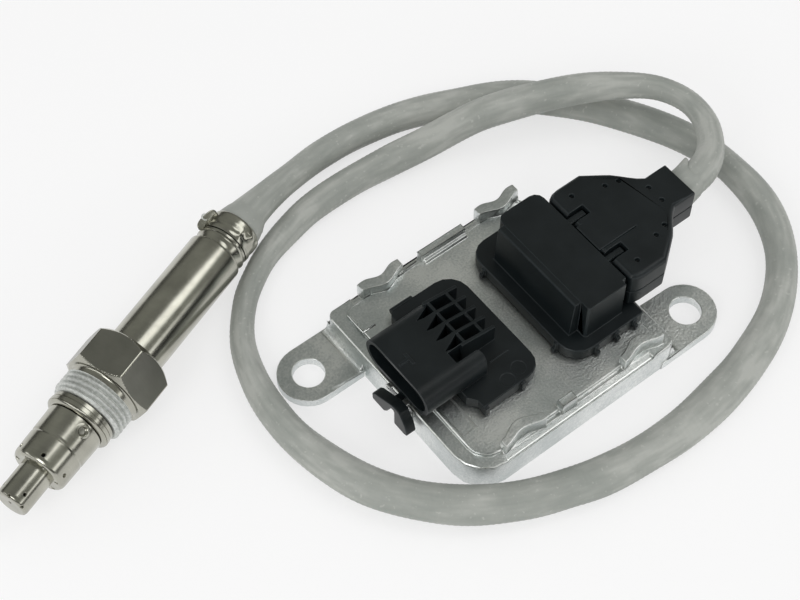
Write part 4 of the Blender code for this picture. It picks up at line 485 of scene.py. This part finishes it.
def turned_piece(name, profile, material, nodes=()):
    """A profile carried round the axis: every point keeps its length and radius through the whole turn."""
    length, radius = np.array(profile, float).T * MM
    angle = np.linspace(0.0, 2 * np.pi, AROUND, endpoint=False)
    grid = on_probe(length[:, None], radius[:, None], angle[None, :])
    return add_piece(name, make_surface(name, grid, sharp=35.0), material, nodes)


turned_piece("turned_probe_tube", [
    (0.3, 6.0), (0.3, 7.68), (36.2, 7.68), (36.6, 7.62), (36.85, 7.48), (37.0, 7.2), (37.1, 6.95), (38.0, 6.9),
    (38.5, 7.0), (38.9, 7.25), (39.3, 7.3), (39.7, 7.1), (40.0, 6.95), (40.3, 7.0), (40.6, 7.0), (40.7, 6.9),
    (40.7, 6.0)], STEEL, ["probe_tube"])
print("probe tube: 36.6 mm long and 15.4 mm across")

# %% [markdown]
# ## The hexagon
# The body is turned from drawn hexagon bar. Its six flats keep the bar's dark skin,
# and the lathe leaves bright metal on the two chamfers and on the rubbed corners.
# One grid holds it all. The radius at an angle is the smallest of three: the flat's, the rubbed corner's
# and that of the chamfer's cone. A face takes the bar's finish where the flat is smallest.

# %% Hexagon and neck
HEX_FLATS = 22.0 * MM
HEX_LENGTH = 11.7 * MM
CORNER_RUB = 0.10 * MM
FRONT_CONE_SLOPE = 1.55
BACK_CONE_SLOPE = 1.1


def hexagon_bar(front, back, chamfers):
    """Radius = min(half flats / cos(angle from the nearest flat), rubbed corner radius, cone radius there)."""
    columns = 360
    angle = np.linspace(0.0, 2 * np.pi, columns, endpoint=False)
    from_flat = (angle - math.radians(60.0)) % math.radians(60.0) - math.radians(30.0)
    flats = HEX_FLATS / 2 / np.cos(from_flat)
    corner = HEX_FLATS / math.sqrt(3)
    span = back - front
    length = np.concatenate([np.linspace(front, front + 0.3 * span, 22),
                             np.linspace(front + 0.33 * span, back - 0.33 * span, 5),
                             np.linspace(back - 0.3 * span, back, 22)])
    cone = np.minimum(corner - chamfers[0] * MM + (length - front) * FRONT_CONE_SLOPE,
                      corner - chamfers[1] * MM + (back - length) * BACK_CONE_SLOPE)
    edge = np.minimum(cone, corner - CORNER_RUB)[:, None] + 0 * angle[None, :]
    radius = np.minimum(flats[None, :], edge)
    mesh = make_surface("hexagon_bar", on_probe(length[:, None], radius, angle[None, :]), sharp=22.0)
    on_flat = (flats[None, :] < edge).ravel()
    quads = grid_faces(len(length), columns)
    index = np.ones(len(mesh.polygons), dtype=np.int32)
    index[:len(quads)] = ~on_flat[quads].all(axis=1)
    piece = add_piece("hexagon_bar", mesh, BAR_STEEL, ["hexagon_body"])
    mesh.materials.append(STEEL)
    mesh.polygons.foreach_set("material_index", index)
    return piece


hexagon_bar(-HEX_LENGTH, 0.0, (1.9, 2.0))
turned_piece("hexagon_neck", [
    (-13.8, 5.0), (-13.8, 8.8), (-13.5, 9.3), (-13.2, 9.45), (-12.3, 9.5), (-11.9, 9.7), (-11.6, 10.2), (-11.6, 5.0)],
    STEEL)
print("hexagon: 22.0 mm across flats and 11.7 mm long")

# %% [markdown]
# ## The thread
# A screw thread is a groove that climbs as it goes round, here 1.5 mm for each turn of a 20 mm bar.
# The groove's depth depends on the length minus the climb at that angle, and it fades out at both ends.
# Behind the thread comes the sealing collar, a turned ring with two fine grooves.

# %% Thread and collar
THREAD_RADIUS = 10.0 * MM
THREAD_PITCH = 1.5 * MM
THREAD_DEPTH = 0.75 * MM
THREAD_CHAMFER = 0.7 * MM


def thread_grid(front, back, radius, pitch, depth):
    """Radius = outer radius - depth * groove(length / pitch - angle / full turn), faded at both ends."""
    length = np.linspace(front, back, 150)[:, None]
    angle = np.linspace(0.0, 2 * np.pi, 160, endpoint=False)[None, :]
    phase = (length / pitch - angle / (2 * np.pi)) % 1.0
    groove = np.clip(1.25 - np.abs(phase - 0.5) * 3.4, 0.0, 1.0)
    fade = np.clip((length - front) / (0.6 * pitch), 0.0, 1.0)
    fade = fade * np.clip((back - length) / (0.3 * pitch), 0.0, 1.0)
    edge = np.clip((length - front) / THREAD_CHAMFER, 0.0, 1.0)
    return on_probe(length, radius - THREAD_CHAMFER * (1 - edge) - depth * groove * fade, angle)


thread_rings = thread_grid(-19.4 * MM, -13.5 * MM, THREAD_RADIUS, THREAD_PITCH, THREAD_DEPTH)
add_piece("threaded_end", make_surface("threaded_end", thread_rings, sharp=60.0), THREAD_STEEL)
turned_piece("turned_collar", [
    (-23.1, 6.9), (-23.1, 8.3), (-22.8, 8.8), (-22.5, 9.05), (-22.4, 8.9), (-22.3, 8.9), (-22.2, 9.12), (-21.2, 9.1),
    (-21.1, 8.8), (-21.0, 8.8), (-20.9, 8.95), (-19.9, 8.9), (-19.7, 8.6), (-19.7, 6.9)], STEEL, ["sealing_collar"])

# %% [markdown]
# ## The caps
# Two perforated caps guard the ceramic: exhaust gas enters the outer one and reaches the tip through the inner one.
# Both are deep drawn, so their walls are thin and their edges round.
# The holes are punched. Their pits are shallow, so the faces deep in them take a near-black finish: a painted shadow
# for the dark inside.
# On the grid, a hole is a pit with a steep wall: points within its radius sink along the wall's inward normal.
# The outer cap also has a small round dimple, where it was pressed into the body so that it can't turn. Its floor takes
# the darker bar finish as painted shade.

# %% Caps
HOLE_DEPTH = 0.9 * MM
HOLE_WALL = 0.15 * MM
DIMPLE_DEPTH = 0.6
DIMPLE_RIM = 0.10


def painted_hole_shadow():
    looks = {"Roughness": 0.9, "Specular IOR Level": 0.1}
    material, tree, shader, place = start_material("cap_inside_in_shadow", looks)
    colour = ramp(tree, noise(tree, place, 0.5), [(0.3, "0b0b0a"), (0.7, "141412")])
    tree.links.new(colour, shader.inputs["Base Color"])
    return material


PAINTED_HOLE_SHADOW = painted_hole_shadow()


def resample(profile, step):
    """Points at an even step along a profile's own length, its corners kept."""
    given = np.array(profile, float)
    parts = []
    for start, end in zip(given[:-1], given[1:]):
        count = max(int(np.linalg.norm(end - start) / step), 1)
        parts.append(start + (end - start) * (np.arange(count) / count)[:, None])
    return np.vstack(parts + [given[-1:]])


def punched_cap(name, profile, holes, hole_radius, columns, nodes, dimple=None):
    """A drawn cap. Points closer to a hole's middle than its radius sink along the surface's inward normal.
    The dimple is a shallower pit, and a bell curve raises a rim round it."""
    line = resample(profile, 0.15) * MM
    tangent = np.gradient(line, axis=0)
    tangent /= np.linalg.norm(tangent, axis=1)[:, None]
    inward = np.stack([tangent[:, 1], -tangent[:, 0]], axis=-1)
    angle = np.linspace(0.0, 2 * np.pi, columns, endpoint=False)
    length = np.repeat(line[:, :1], columns, axis=1)
    radius = np.repeat(line[:, 1:], columns, axis=1)
    points = on_probe(length, radius, angle[None, :])
    sunk = np.zeros(length.shape)
    for hole_length, hole_distance, hole_angle in holes:
        middle = on_probe(hole_length * MM, hole_distance * MM, math.radians(hole_angle))
        away = np.linalg.norm(points - middle, axis=-1)
        sunk = np.maximum(sunk, np.clip((hole_radius * MM - away) / HOLE_WALL, 0.0, 1.0))
    depth = sunk * HOLE_DEPTH
    if dimple:
        middle = on_probe(dimple[0] * MM, dimple[1] * MM, math.radians(dimple[2]))
        away = np.linalg.norm(points - middle, axis=-1) / MM
        rim = DIMPLE_RIM * np.exp(-((away - 1.5) / 0.22) ** 2)
        depth += (DIMPLE_DEPTH * np.clip((1.25 - away) / 0.35, 0.0, 1.0) - rim) * MM
    length = length + inward[:, :1] * depth
    radius = radius + inward[:, 1:] * depth
    mesh = make_surface(name, on_probe(length, radius, angle[None, :]), sharp=40.0)
    cap = add_piece(name, mesh, STEEL, nodes)
    mesh.materials.append(PAINTED_HOLE_SHADOW)
    # Faces deep in a hole take the painted shadow.
    deep = (sunk > 0.5).ravel()
    quads = grid_faces(len(line), columns)
    index = np.zeros(len(mesh.polygons), dtype=np.int32)
    index[:len(quads)] = deep[quads].all(axis=1)
    if dimple:
        # The dimple's floor takes the darker bar finish: painted shade in the pit.
        mesh.materials.append(BAR_STEEL)
        index[:len(quads)][(away < 0.95).ravel()[quads].all(axis=1)] = 2
    mesh.polygons.foreach_set("material_index", index)
    return cap


outer_holes = [(-36.4, 7.5, a) for a in range(44, 404, 60)] + [(-38.6, 5.9, 21 + 51.4 * k) for k in range(7)]
punched_cap("drawn_outer_cap", [
    (-38.6, 4.8), (-38.6, 6.1), (-38.5, 6.6), (-38.2, 7.05), (-37.7, 7.35), (-37.1, 7.48), (-31.4, 7.62),
    (-31.2, 7.52), (-30.9, 7.42), (-30.6, 7.52), (-30.4, 7.64), (-24.2, 7.8), (-23.4, 7.8), (-23.4, 7.2)],
    outer_holes, 0.52, 330, ["outer_cap"], dimple=(-25.6, 7.77, 132.0))
inner_holes = [(-46.0, 4.5, a) for a in range(40, 400, 90)] + [(-48.5, 4.1, a) for a in range(32, 392, 60)]
inner_holes.append((-48.9, 1.3, 96.0))
punched_cap("drawn_inner_cap", [
    (-48.9, 0.1), (-48.9, 3.5), (-48.8, 3.95), (-48.5, 4.3), (-48.1, 4.45), (-47.6, 4.5), (-40.2, 4.5),
    (-38.0, 4.5), (-37.5, 4.0)], inner_holes, 0.42, 220, ["inner_cap"])
print("holes: %d in the outer cap, %d in the inner cap" % (len(outer_holes), len(inner_holes)))

# %% [markdown]
# ## Crimp band and grommet
# A thin steel band is crimped over the sleeve and the rubber grommet. The crimping tool pinches an ear up
# on one side, and the band's end stands off as a flat tongue with an eyelet.
# The band is the turned profile with two bumps and two dents added, each a bell curve in length and angle.

# %% Band
def crimped_band(profile, bumps):
    """Radius = the profile's, plus height * exp(-(length away / reach)^2 - (angle away / spread)^2) for each bump.
    The bumps leave the band's inside alone, below a radius of 6.7 mm."""
    line = resample(profile, 0.25)
    angle = np.linspace(0.0, 360.0, 180, endpoint=False)
    radius = np.repeat(line[:, 1:], len(angle), axis=1)
    outside = np.clip((line[:, 1:] - 6.7) / 0.2, 0.0, 1.0)
    for height, middle, reach, turned, spread in bumps:
        bell = np.exp(-((line[:, :1] - middle) / reach) ** 2 - ((angle[None, :] - turned) / spread) ** 2)
        radius = radius + height * bell * outside
    grid = on_probe(line[:, :1] * MM, radius * MM, np.radians(angle)[None, :])
    mesh = make_surface("crimped_band", grid, sharp=50.0)
    return add_piece("crimped_band", mesh, STEEL, ["crimp_band"])


crimped_band([
    (41.0, 6.6), (41.0, 7.0), (41.3, 7.15), (42.2, 7.2), (42.8, 7.05), (43.3, 7.0), (43.9, 7.1), (44.6, 7.2),
    (46.2, 7.15), (46.6, 7.05), (46.8, 6.9), (46.8, 6.5)],
    [(0.75, 44.7, 1.2, 152.0, 13.0), (-0.45, 42.2, 0.8, 166.0, 16.0), (-0.30, 45.6, 1.0, 176.0, 9.0),
     (0.30, 43.0, 1.4, 128.0, 7.0)])

# %% [markdown]
# The tongue is a flat strip on edge: a rounded rectangle carried along a line, narrowed to nothing at both ends.
# The eyelet is a ring of wire in the paler edge finish, a painted highlight, and the grommet is a turned cone of rubber
# behind the band.

# %% Tongue, eyelet and grommet
TONGUE_HALF_WIDTH = 1.15 * MM
TONGUE_HALF_THICKNESS = 0.32 * MM


def carried_strip(name, centres, across, thick, half_width, half_thickness):
    """Each ring is centre + across * half width * root(cos) + thick * half thickness * root(sin)."""
    angle = np.linspace(0.0, 2 * np.pi, 24, endpoint=False)
    wide = np.sign(np.cos(angle)) * np.abs(np.cos(angle)) ** 0.5
    high = np.sign(np.sin(angle)) * np.abs(np.sin(angle)) ** 0.5
    ring = (across[:, None] * half_width[:, None, None] * wide[None, :, None]
            + thick[:, None] * half_thickness[:, None, None] * high[None, :, None])
    mesh = make_surface(name, centres[:, None] + ring, sharp=50.0)
    return add_piece(name, mesh, STEEL)


def square_to_spoke(angle):
    """The direction at right angles to the probe's axis and to the spoke at this angle."""
    return UP * np.cos(angle)[..., None] - SIDE * np.sin(angle)[..., None]


along = np.linspace(0.0, 1.0, 26)
tongue_angle = np.radians(38.0 + 8.0 * along)
tongue_bow = 0.45 * np.sin(np.pi * along ** 0.8)
tongue_middle = on_probe((38.9 + 6.9 * along) * MM, (7.75 + tongue_bow) * MM, tongue_angle)
outwards = SIDE * np.cos(tongue_angle)[:, None] + UP * np.sin(tongue_angle)[:, None]
rounded_ends = np.sqrt(np.clip(1.0 - np.abs(2 * along - 1.0) ** 5, 0.0, 1.0)) + 0.02
carried_strip("crimped_band_tongue", tongue_middle, outwards, square_to_spoke(tongue_angle),
              TONGUE_HALF_WIDTH * rounded_ends, TONGUE_HALF_THICKNESS * rounded_ends)


def ring_round(name, middle, facing, ring_radius, wire_radius, material):
    """Middle + (ring radius + wire radius * cos b) * the spoke at a + facing * wire radius * sin b."""
    a = np.linspace(0.0, 2 * np.pi, 32, endpoint=False)[:, None, None]
    b = np.linspace(0.0, 2 * np.pi, 12, endpoint=False)[None, :, None]
    first = np.cross(facing, UP)
    first /= np.linalg.norm(first)
    second = np.cross(facing, first)
    spoke = first * np.cos(a) + second * np.sin(a)
    grid = middle + spoke * (ring_radius + wire_radius * np.cos(b)) + facing * wire_radius * np.sin(b)
    return add_piece(name, make_surface(name, grid[::-1], wrap_rows=True, sharp=60.0), material)


eyelet_angle = np.radians(40.0)
eyelet_facing = square_to_spoke(eyelet_angle)
eyelet_middle = on_probe(42.4 * MM, 8.75 * MM, eyelet_angle) + eyelet_facing * 0.25 * MM
# The eyelet takes the edge finish: a painted highlight.
ring_round("crimped_band_eyelet", eyelet_middle, eyelet_facing, 0.72 * MM, 0.34 * MM, CAST_EDGE_HIGHLIGHT)
turned_piece("flared_grommet", [
    (40.9, 3.0), (40.9, 6.4), (46.4, 6.4), (47.0, 6.5), (47.8, 6.48), (48.6, 6.35), (49.4, 6.15), (50.3, 5.9),
    (51.2, 5.6), (52.0, 5.35), (52.0, 3.0)], SLEEVE, ["cable_grommet"])

# %% [markdown]
# ## Pieces that keep their CAD shape
# The headers, the plug and the housing have the right shape in the CAD model.
# Real moulded and cast edges are never razor sharp, so a copy of each gets a small bevel before its finish. The bevel's
# faces take a paler finish: a painted highlight.
# A CAD node is loose triangles, so the copy's doubled points are merged and its flat faces joined first.

# %% Rounded copies
SHARP_TURN = math.radians(28.0)


def shade_flat_faces_flat(piece):
    """Large faces lead the shading, so a small round beside them doesn't bend their light."""
    even = piece.modifiers.new("flat_faces_shade_flat", "WEIGHTED_NORMAL")
    even.weight = 80
    even.keep_sharp = True


def rounded_copy(node, name, material, edge_material, width, shortest=0.0):
    """A copy of a CAD node, with its points merged and its flat faces joined, and then bevelled on its edges with a
    painted highlight.
    """
    bm = bmesh.new()
    bm.from_mesh(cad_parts[node].data)
    bmesh.ops.remove_doubles(bm, verts=bm.verts, dist=1e-5)
    bmesh.ops.dissolve_limit(bm, angle_limit=math.radians(1.0), verts=bm.verts, edges=bm.edges)
    bmesh.ops.dissolve_degenerate(bm, dist=2e-5, edges=bm.edges)
    return bevelled_piece_with_highlight(bm, name, material, edge_material, width, shortest, [node])


def bevelled_piece_with_highlight(bm, name, material, edge_material, width, shortest, nodes):
    """A piece whose sharp edges carry a bevel of this width in the edge finish, which paints a highlight on them.
    An edge is sharp where its faces turn by more than SHARP_TURN. One shorter than the shortest stays sharp."""
    # The bevel weight marks the edges that get the bevel and its painted highlight.
    rubbed = bm.edges.layers.float.new("bevel_weight_edge")
    for edge in bm.edges:
        turned = edge.calc_face_angle(0.0) > SHARP_TURN
        edge[rubbed] = float(turned and edge.calc_length() > shortest * MM)
        edge.smooth = not turned or edge[rubbed] > 0.5
    mesh = bpy.data.meshes.new(name)
    bm.to_mesh(mesh)
    bm.free()
    mesh.polygons.foreach_set("use_smooth", np.ones(len(mesh.polygons), dtype=bool))
    piece = add_piece(name, mesh, material, nodes)
    mesh.materials.append(edge_material)
    bevel = piece.modifiers.new("bevel_with_painted_highlight", "BEVEL")
    bevel.width = width * MM
    bevel.segments = 2
    bevel.limit_method = "WEIGHT"
    # The bevel's faces take the second material: the edge finish that paints a highlight.
    bevel.material = 1
    bevel.use_clamp_overlap = False
    shade_flat_faces_flat(piece)
    return piece


rounded_copy("housing", "cast_housing", CAST, CAST_EDGE_HIGHLIGHT, 0.26, shortest=0.9)
for node, name, width in (
        ("vehicle_header", "moulded_vehicle_header", 0.12), ("probe_header", "moulded_probe_header", 0.2),
        ("plug_top_shell", "moulded_plug_top", 0.2), ("plug_bottom_shell", "moulded_plug_bottom", 0.2)):
    rounded_copy(node, name, PLASTIC, PLASTIC_EDGE_HIGHLIGHT, width)

# %% [markdown]
# ## The lock clip
# A loose moulded clip hangs beside the connector and locks the vehicle's plug. It has two legs with a slot
# between them: one is a wedge, the other slants down to a foot. A narrow neck holds it on the header's flange.
# Three small cast keepers on the housing's edge stand beside it, all in the paler edge finish: a painted highlight.
# Each is an outline drawn out along X, as its mould pulls it.

# %% Lock clip and keepers
def drawn_out(name, outlines, material, edge_material, width, nodes=()):
    """Each outline, in y and z, gets two end faces at its two places along x, and a side face for each edge."""
    bm = bmesh.new()
    for front, back, outline in outlines:
        rings = [[bm.verts.new((x * MM, y * MM, z * MM)) for y, z in outline] for x in (front, back)]
        bm.faces.new(rings[0])
        bm.faces.new(rings[1][::-1])
        for i in range(len(outline)):
            bm.faces.new([rings[0][i], rings[0][i - 1], rings[1][i - 1], rings[1][i]])
    bmesh.ops.recalc_face_normals(bm, faces=bm.faces)
    return bevelled_piece_with_highlight(bm, name, material, edge_material, width, 0.0, nodes)


drawn_out("moulded_lock_clip", [
    (-36.9, -33.9, [
        (6.3, 6.9), (6.2, 4.9), (5.8, 4.6), (1.3, 4.7), (0.2, 6.1), (-1.5, 9.8), (-2.4, 10.0), (-2.7, 9.5), (-2.7, 4.5),
        (-3.1, 4.1), (-6.9, 4.1), (-7.9, 4.5), (-8.0, 5.4), (-7.2, 8.3), (-5.3, 11.2), (-4.6, 11.8), (-3.6, 12.05),
        (-2.6, 12.05), (-0.9, 11.4), (2.9, 9.3), (5.0, 8.3)]),
    (-34.3, -24.5, [(0.8, 10.1), (0.8, 8.6), (-1.6, 8.6), (-1.6, 10.1)])],
    PLASTIC, PLASTIC_EDGE_HIGHLIGHT, 0.3, ["lock_clip"])
# The keepers are wholly in the edge finish, a painted highlight.
drawn_out("cast_clip_keepers", [
    (-33.75, -32.4, [(-1.7, 10.5), (-1.7, 8.6), (-3.6, 8.6), (-3.6, 10.5)]),
    (-33.75, -33.0, [(-4.6, 8.6), (-4.6, 4.2), (-5.5, 3.6), (-5.5, 8.6)]),
    (-33.7, -32.6, [(4.6, 10.2), (4.6, 9.2), (3.2, 9.2), (3.2, 10.2)])],
    CAST_EDGE_HIGHLIGHT, CAST_EDGE_HIGHLIGHT, 0.2)

# %% [markdown]
# ## The sleeve's cut end at the plug
# The sleeve was cut with scissors and pushed against the plug's boot, so its end is a short, slightly wider cuff.
# One lip of the cut has sprung open. The cuff is a tube whose free edge and width follow slow waves round it.

# %% Cuff
CUFF_START = 4.8
CUFF_REACH = 5.2
CUFF_WAVE = 0.5
LIP_REACH = 4.6
LIP_OPENING = 3.4
LIP_ANGLE = 0.55
LIP_SPREAD = 0.55
CUFF_AROUND = 72


def sleeve_cuff():
    """Rings along the cable's route, a little outside it. They end at the reach plus a slow wave round the cut.
    The lip is a bell curve round the cuff: it reaches further, and opens with the third power of the way along."""
    way = np.linspace(0.0, 1.0, 30)[:, None]
    angle = np.linspace(0.0, 2 * np.pi, CUFF_AROUND, endpoint=False)[None, :]
    lip = sum(np.exp(-((angle - LIP_ANGLE - turn) / LIP_SPREAD) ** 2) for turn in (0.0, 2 * np.pi))
    place = (CUFF_START + way * (CUFF_REACH + LIP_REACH * lip + CUFF_WAVE * np.sin(3 * angle + 1.0))) * MM
    centre = np.stack([np.interp(place, cable_lengths, cable_line[:, k]) for k in range(3)], axis=-1)
    ahead = np.stack([np.interp(place + 0.0004, cable_lengths, cable_line[:, k]) for k in range(3)], axis=-1)
    forward = ahead - centre
    forward /= np.linalg.norm(forward, axis=-1)[..., None]
    across = np.cross(forward, UP)
    across /= np.linalg.norm(across, axis=-1)[..., None]
    upwards = np.cross(across, forward)
    opened = LIP_OPENING * lip * way ** 3 * (1.35 - way)
    wide = np.interp(place, cable_lengths, cable_line[:, 4]) + (0.85 - 0.55 * way + opened) * MM
    high = np.interp(place, cable_lengths, cable_line[:, 3]) + (0.45 - 0.30 * way) * MM
    outer = centre + across * (wide * -np.cos(angle))[..., None] + upwards * (high * np.sin(angle))[..., None]
    inner = outer[::-1] * 0.12 + (outer[::-1] - (outer[::-1] - centre[::-1]) * 0.09) * 0.88
    grid = np.concatenate([outer, inner], axis=0)
    mesh = make_surface("sleeve_cut_end", grid, wrap_rows=True, sharp=70.0)
    lengths = np.concatenate([place[:, 0], place[::-1, 0]])
    set_tube_uv(mesh, len(grid), CUFF_AROUND, lengths, math.pi * CABLE_DIAMETER)
    return add_piece("sleeve_cut_end", mesh, SLEEVE)


sleeve_cuff()

# %% [markdown]
# ## The two back lugs
# Each lug is a cast wall that wanders like a shallow wave. Its outer face dips less than its inner one,
# its top edge takes a painted highlight in the paler edge finish, and a small fillet joins it to the roof.
# A cross-section is carried along the lug, and its two sides follow the two waves.

# %% Back lugs
LUG_LENGTH = 13.3
LUG_INNER_Y = 28.65
LUG_OUTER_Y = 31.15
INNER_DIP = 2.13
OUTER_DIP = 1.35
DIP_SHARE = 0.72


def cast_lug(name, first_x):
    """Side = end place - dip * cos^2 of the way from the middle, so it is deepest midway and level at both ends."""
    along = np.concatenate([[0.0, 0.08, 0.3], np.linspace(0.6, 12.7, 48), [13.0, 13.22, LUG_LENGTH]])
    from_end = np.minimum(along, LUG_LENGTH - along)
    drop = np.interp(from_end, [0.0, 0.08, 0.3], [0.32, 0.10, 0.0])
    way = np.clip(np.abs(along / LUG_LENGTH - 0.5) * 2.0, 0.0, 1.0)
    dip = np.where(way < DIP_SHARE, np.cos(way / DIP_SHARE * np.pi / 2) ** 2, 0.0)
    inner = LUG_INNER_Y - INNER_DIP * dip
    outer = LUG_OUTER_Y - OUTER_DIP * dip - np.clip(way - 0.8, 0.0, 1.0) * 0.6
    inner_side = [(-0.42, 10.9), (-0.15, 11.08), (-0.02, 11.35), (0.0, 11.8), (0.0, 13.70), (0.09, 13.92),
                  (0.30, 14.02)]
    outer_side = [(-0.30, 14.02), (-0.09, 13.92), (0.0, 13.70), (0.0, 9.6)]
    y = [inner + dy for dy, z in inner_side] + [outer + dy for dy, z in outer_side] + [inner - 0.42]
    z = [np.where(z > 13.0, z - drop, z) for dy, z in inner_side + outer_side] + [np.full(len(along), 9.6)]
    x = np.repeat((first_x + along)[:, None], len(y), axis=1)
    grid = np.stack([x, np.stack(y, axis=-1), np.stack(z, axis=-1)], axis=-1) * MM
    mesh = make_surface(name, grid, sharp=55.0)
    piece = add_piece(name, mesh, CAST)
    mesh.materials.append(CAST_EDGE_HIGHLIGHT)
    column = np.arange((len(along) - 1) * len(y)) % len(y)
    index = np.zeros(len(mesh.polygons), dtype=np.int32)
    # The faces in columns 1, 4 and 5 take the edge finish: a painted highlight on the lug's rounded top edge and on its
    # fillet.
    index[:len(column)] = np.isin(column, (1, 4, 5))
    mesh.polygons.foreach_set("material_index", index)
    shade_flat_faces_flat(piece)
    return piece


cast_lug("cast_back_lug_left", -22.65)
cast_lug("cast_back_lug_right", 16.45)
print("back lugs: 13.3 mm long, 3 mm high")

# %% [markdown]
# The rest of the CAD nodes keep their shape as it is, and only get their finish.

# %% Finishes for the other nodes
FINISHES = {"base_plate": SHEET, "base_seal": RUBBER, "vehicle_seal": RUBBER, "probe_header_seal": RUBBER,
            "circuit_board": BOARD, "plug_carrier": PLASTIC, "sensing_element": CERAMIC, "front_ceramic_bush": CERAMIC,
            "rear_ceramic_bush": CERAMIC, "talc_ring": CERAMIC, "contact_holder": CERAMIC}
for node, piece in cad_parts.items():
    finish = FINISHES.get(node)
    if node.startswith("base_screw"):
        finish = STEEL
    if node.startswith(("vehicle_pin", "probe_pin")):
        finish = BRASS
    if finish:
        piece.data.materials.clear()
        piece.data.materials.append(finish)

# %% [markdown]
# ## Studio
# The photograph has a white ground and soft light from above. The floor and the world are white to the camera,
# and the floor still takes the object's shadow. Metal sees the white floor below it and a grey room above it,
# which gives the turned steel its dark band. Two softboxes light the top, and two long strips light the sides.

# %% Floor, world and lamps
FLOOR_HALF = 3.0
FLOOR_Z = -0.0001
SHADOW_SHARE = 0.36
AMBIENT = 0.62


def either(tree, first, second):
    """1 where one of two light path values is 1."""
    return add_node(tree, "Math", {"operation": "MAXIMUM"}, {0: first, 1: second}).outputs[0]


def white_floor():
    """A glow of strength 1 to the camera and in reflections, mixed with a share of plain diffuse for the shadow."""
    material = bpy.data.materials.new("white_table")
    material.use_nodes = True
    tree = material.node_tree
    tree.nodes.clear()
    path = add_node(tree, "LightPath")
    diffuse = add_node(tree, "BsdfDiffuse", {"Color": linear("fafafa")})
    glow = add_node(tree, "Emission", {"Color": (1.0, 1.0, 1.0, 1.0), "Strength": 1.0})
    shadowed = add_node(tree, "MixShader", {0: SHADOW_SHARE}, {1: glow.outputs[0], 2: diffuse.outputs[0]})
    seen = either(tree, path.outputs["Is Camera Ray"], path.outputs["Is Glossy Ray"])
    seen = either(tree, seen, path.outputs["Is Transmission Ray"])
    both = add_node(tree, "MixShader", links={0: seen, 1: diffuse.outputs[0], 2: shadowed.outputs[0]})
    output = add_node(tree, "OutputMaterial")
    tree.links.new(both.outputs[0], output.inputs["Surface"])
    return material


corners = [(x * FLOOR_HALF, y * FLOOR_HALF, FLOOR_Z) for x, y in ((-1, -1), (1, -1), (1, 1), (-1, 1))]
floor_mesh = bpy.data.meshes.new("table_top")
floor_mesh.from_pydata(corners, [], [(0, 1, 2, 3)])
floor_mesh.materials.append(white_floor())
floor = bpy.data.objects.new("table_top", floor_mesh)
bpy.context.scene.collection.objects.link(floor)

world = bpy.data.worlds.new("studio")
bpy.context.scene.world = world
world.use_nodes = True
tree = world.node_tree
tree.nodes.clear()
path = add_node(tree, "LightPath")
direction = add_node(tree, "TexCoord").outputs["Generated"]
height = add_node(tree, "SeparateXYZ", links={0: direction}).outputs["Z"]
overhead = ramp(tree, height, [(0.0, "5a5a56"), (0.18, "4c4c48"), (0.45, "8e8f89"), (0.80, "90918b"),
                               (1.0, "80817d")])
seen_by_metal = add_node(tree, "Background", {"Strength": 1.0}, {"Color": overhead})
ambient = add_node(tree, "Background", {"Color": (1.0, 1.0, 1.0, 1.0), "Strength": AMBIENT})
white = add_node(tree, "Background", {"Color": (1.0, 1.0, 1.0, 1.0), "Strength": 1.0})
glossy = add_node(tree, "MixShader", links={0: path.outputs["Is Glossy Ray"], 1: ambient.outputs[0],
                                            2: seen_by_metal.outputs[0]})
see_through = either(tree, path.outputs["Is Camera Ray"], path.outputs["Is Transmission Ray"])
sky = add_node(tree, "MixShader", links={0: see_through, 1: glossy.outputs[0], 2: white.outputs[0]})
output = add_node(tree, "OutputWorld")
tree.links.new(sky.outputs[0], output.inputs["Surface"])


def soft_lamp(name, place, size, power):
    """A rectangular lamp that faces the origin."""
    lamp_data = bpy.data.lights.new(name, "AREA")
    lamp_data.shape = "RECTANGLE"
    lamp_data.size, lamp_data.size_y = size
    lamp_data.energy = power
    lamp = bpy.data.objects.new(name, lamp_data)
    bpy.context.scene.collection.objects.link(lamp)
    lamp.location = place
    lamp.rotation_euler = (-Vector(place)).to_track_quat("-Z", "Y").to_euler()
    return lamp


soft_lamp("key_softbox", (0.42, -0.15, 0.78), (0.32, 0.50), 0.95)
soft_lamp("fill_softbox", (-0.75, -0.25, 0.60), (0.4, 0.4), 1.8)
soft_lamp("front_strip", (0.28, -0.95, 0.42), (1.2, 0.22), 1.3)
soft_lamp("left_strip", (-0.95, 0.30, 0.36), (0.8, 0.20), 0.9)

bpy.context.scene.view_settings.view_transform = "Standard"
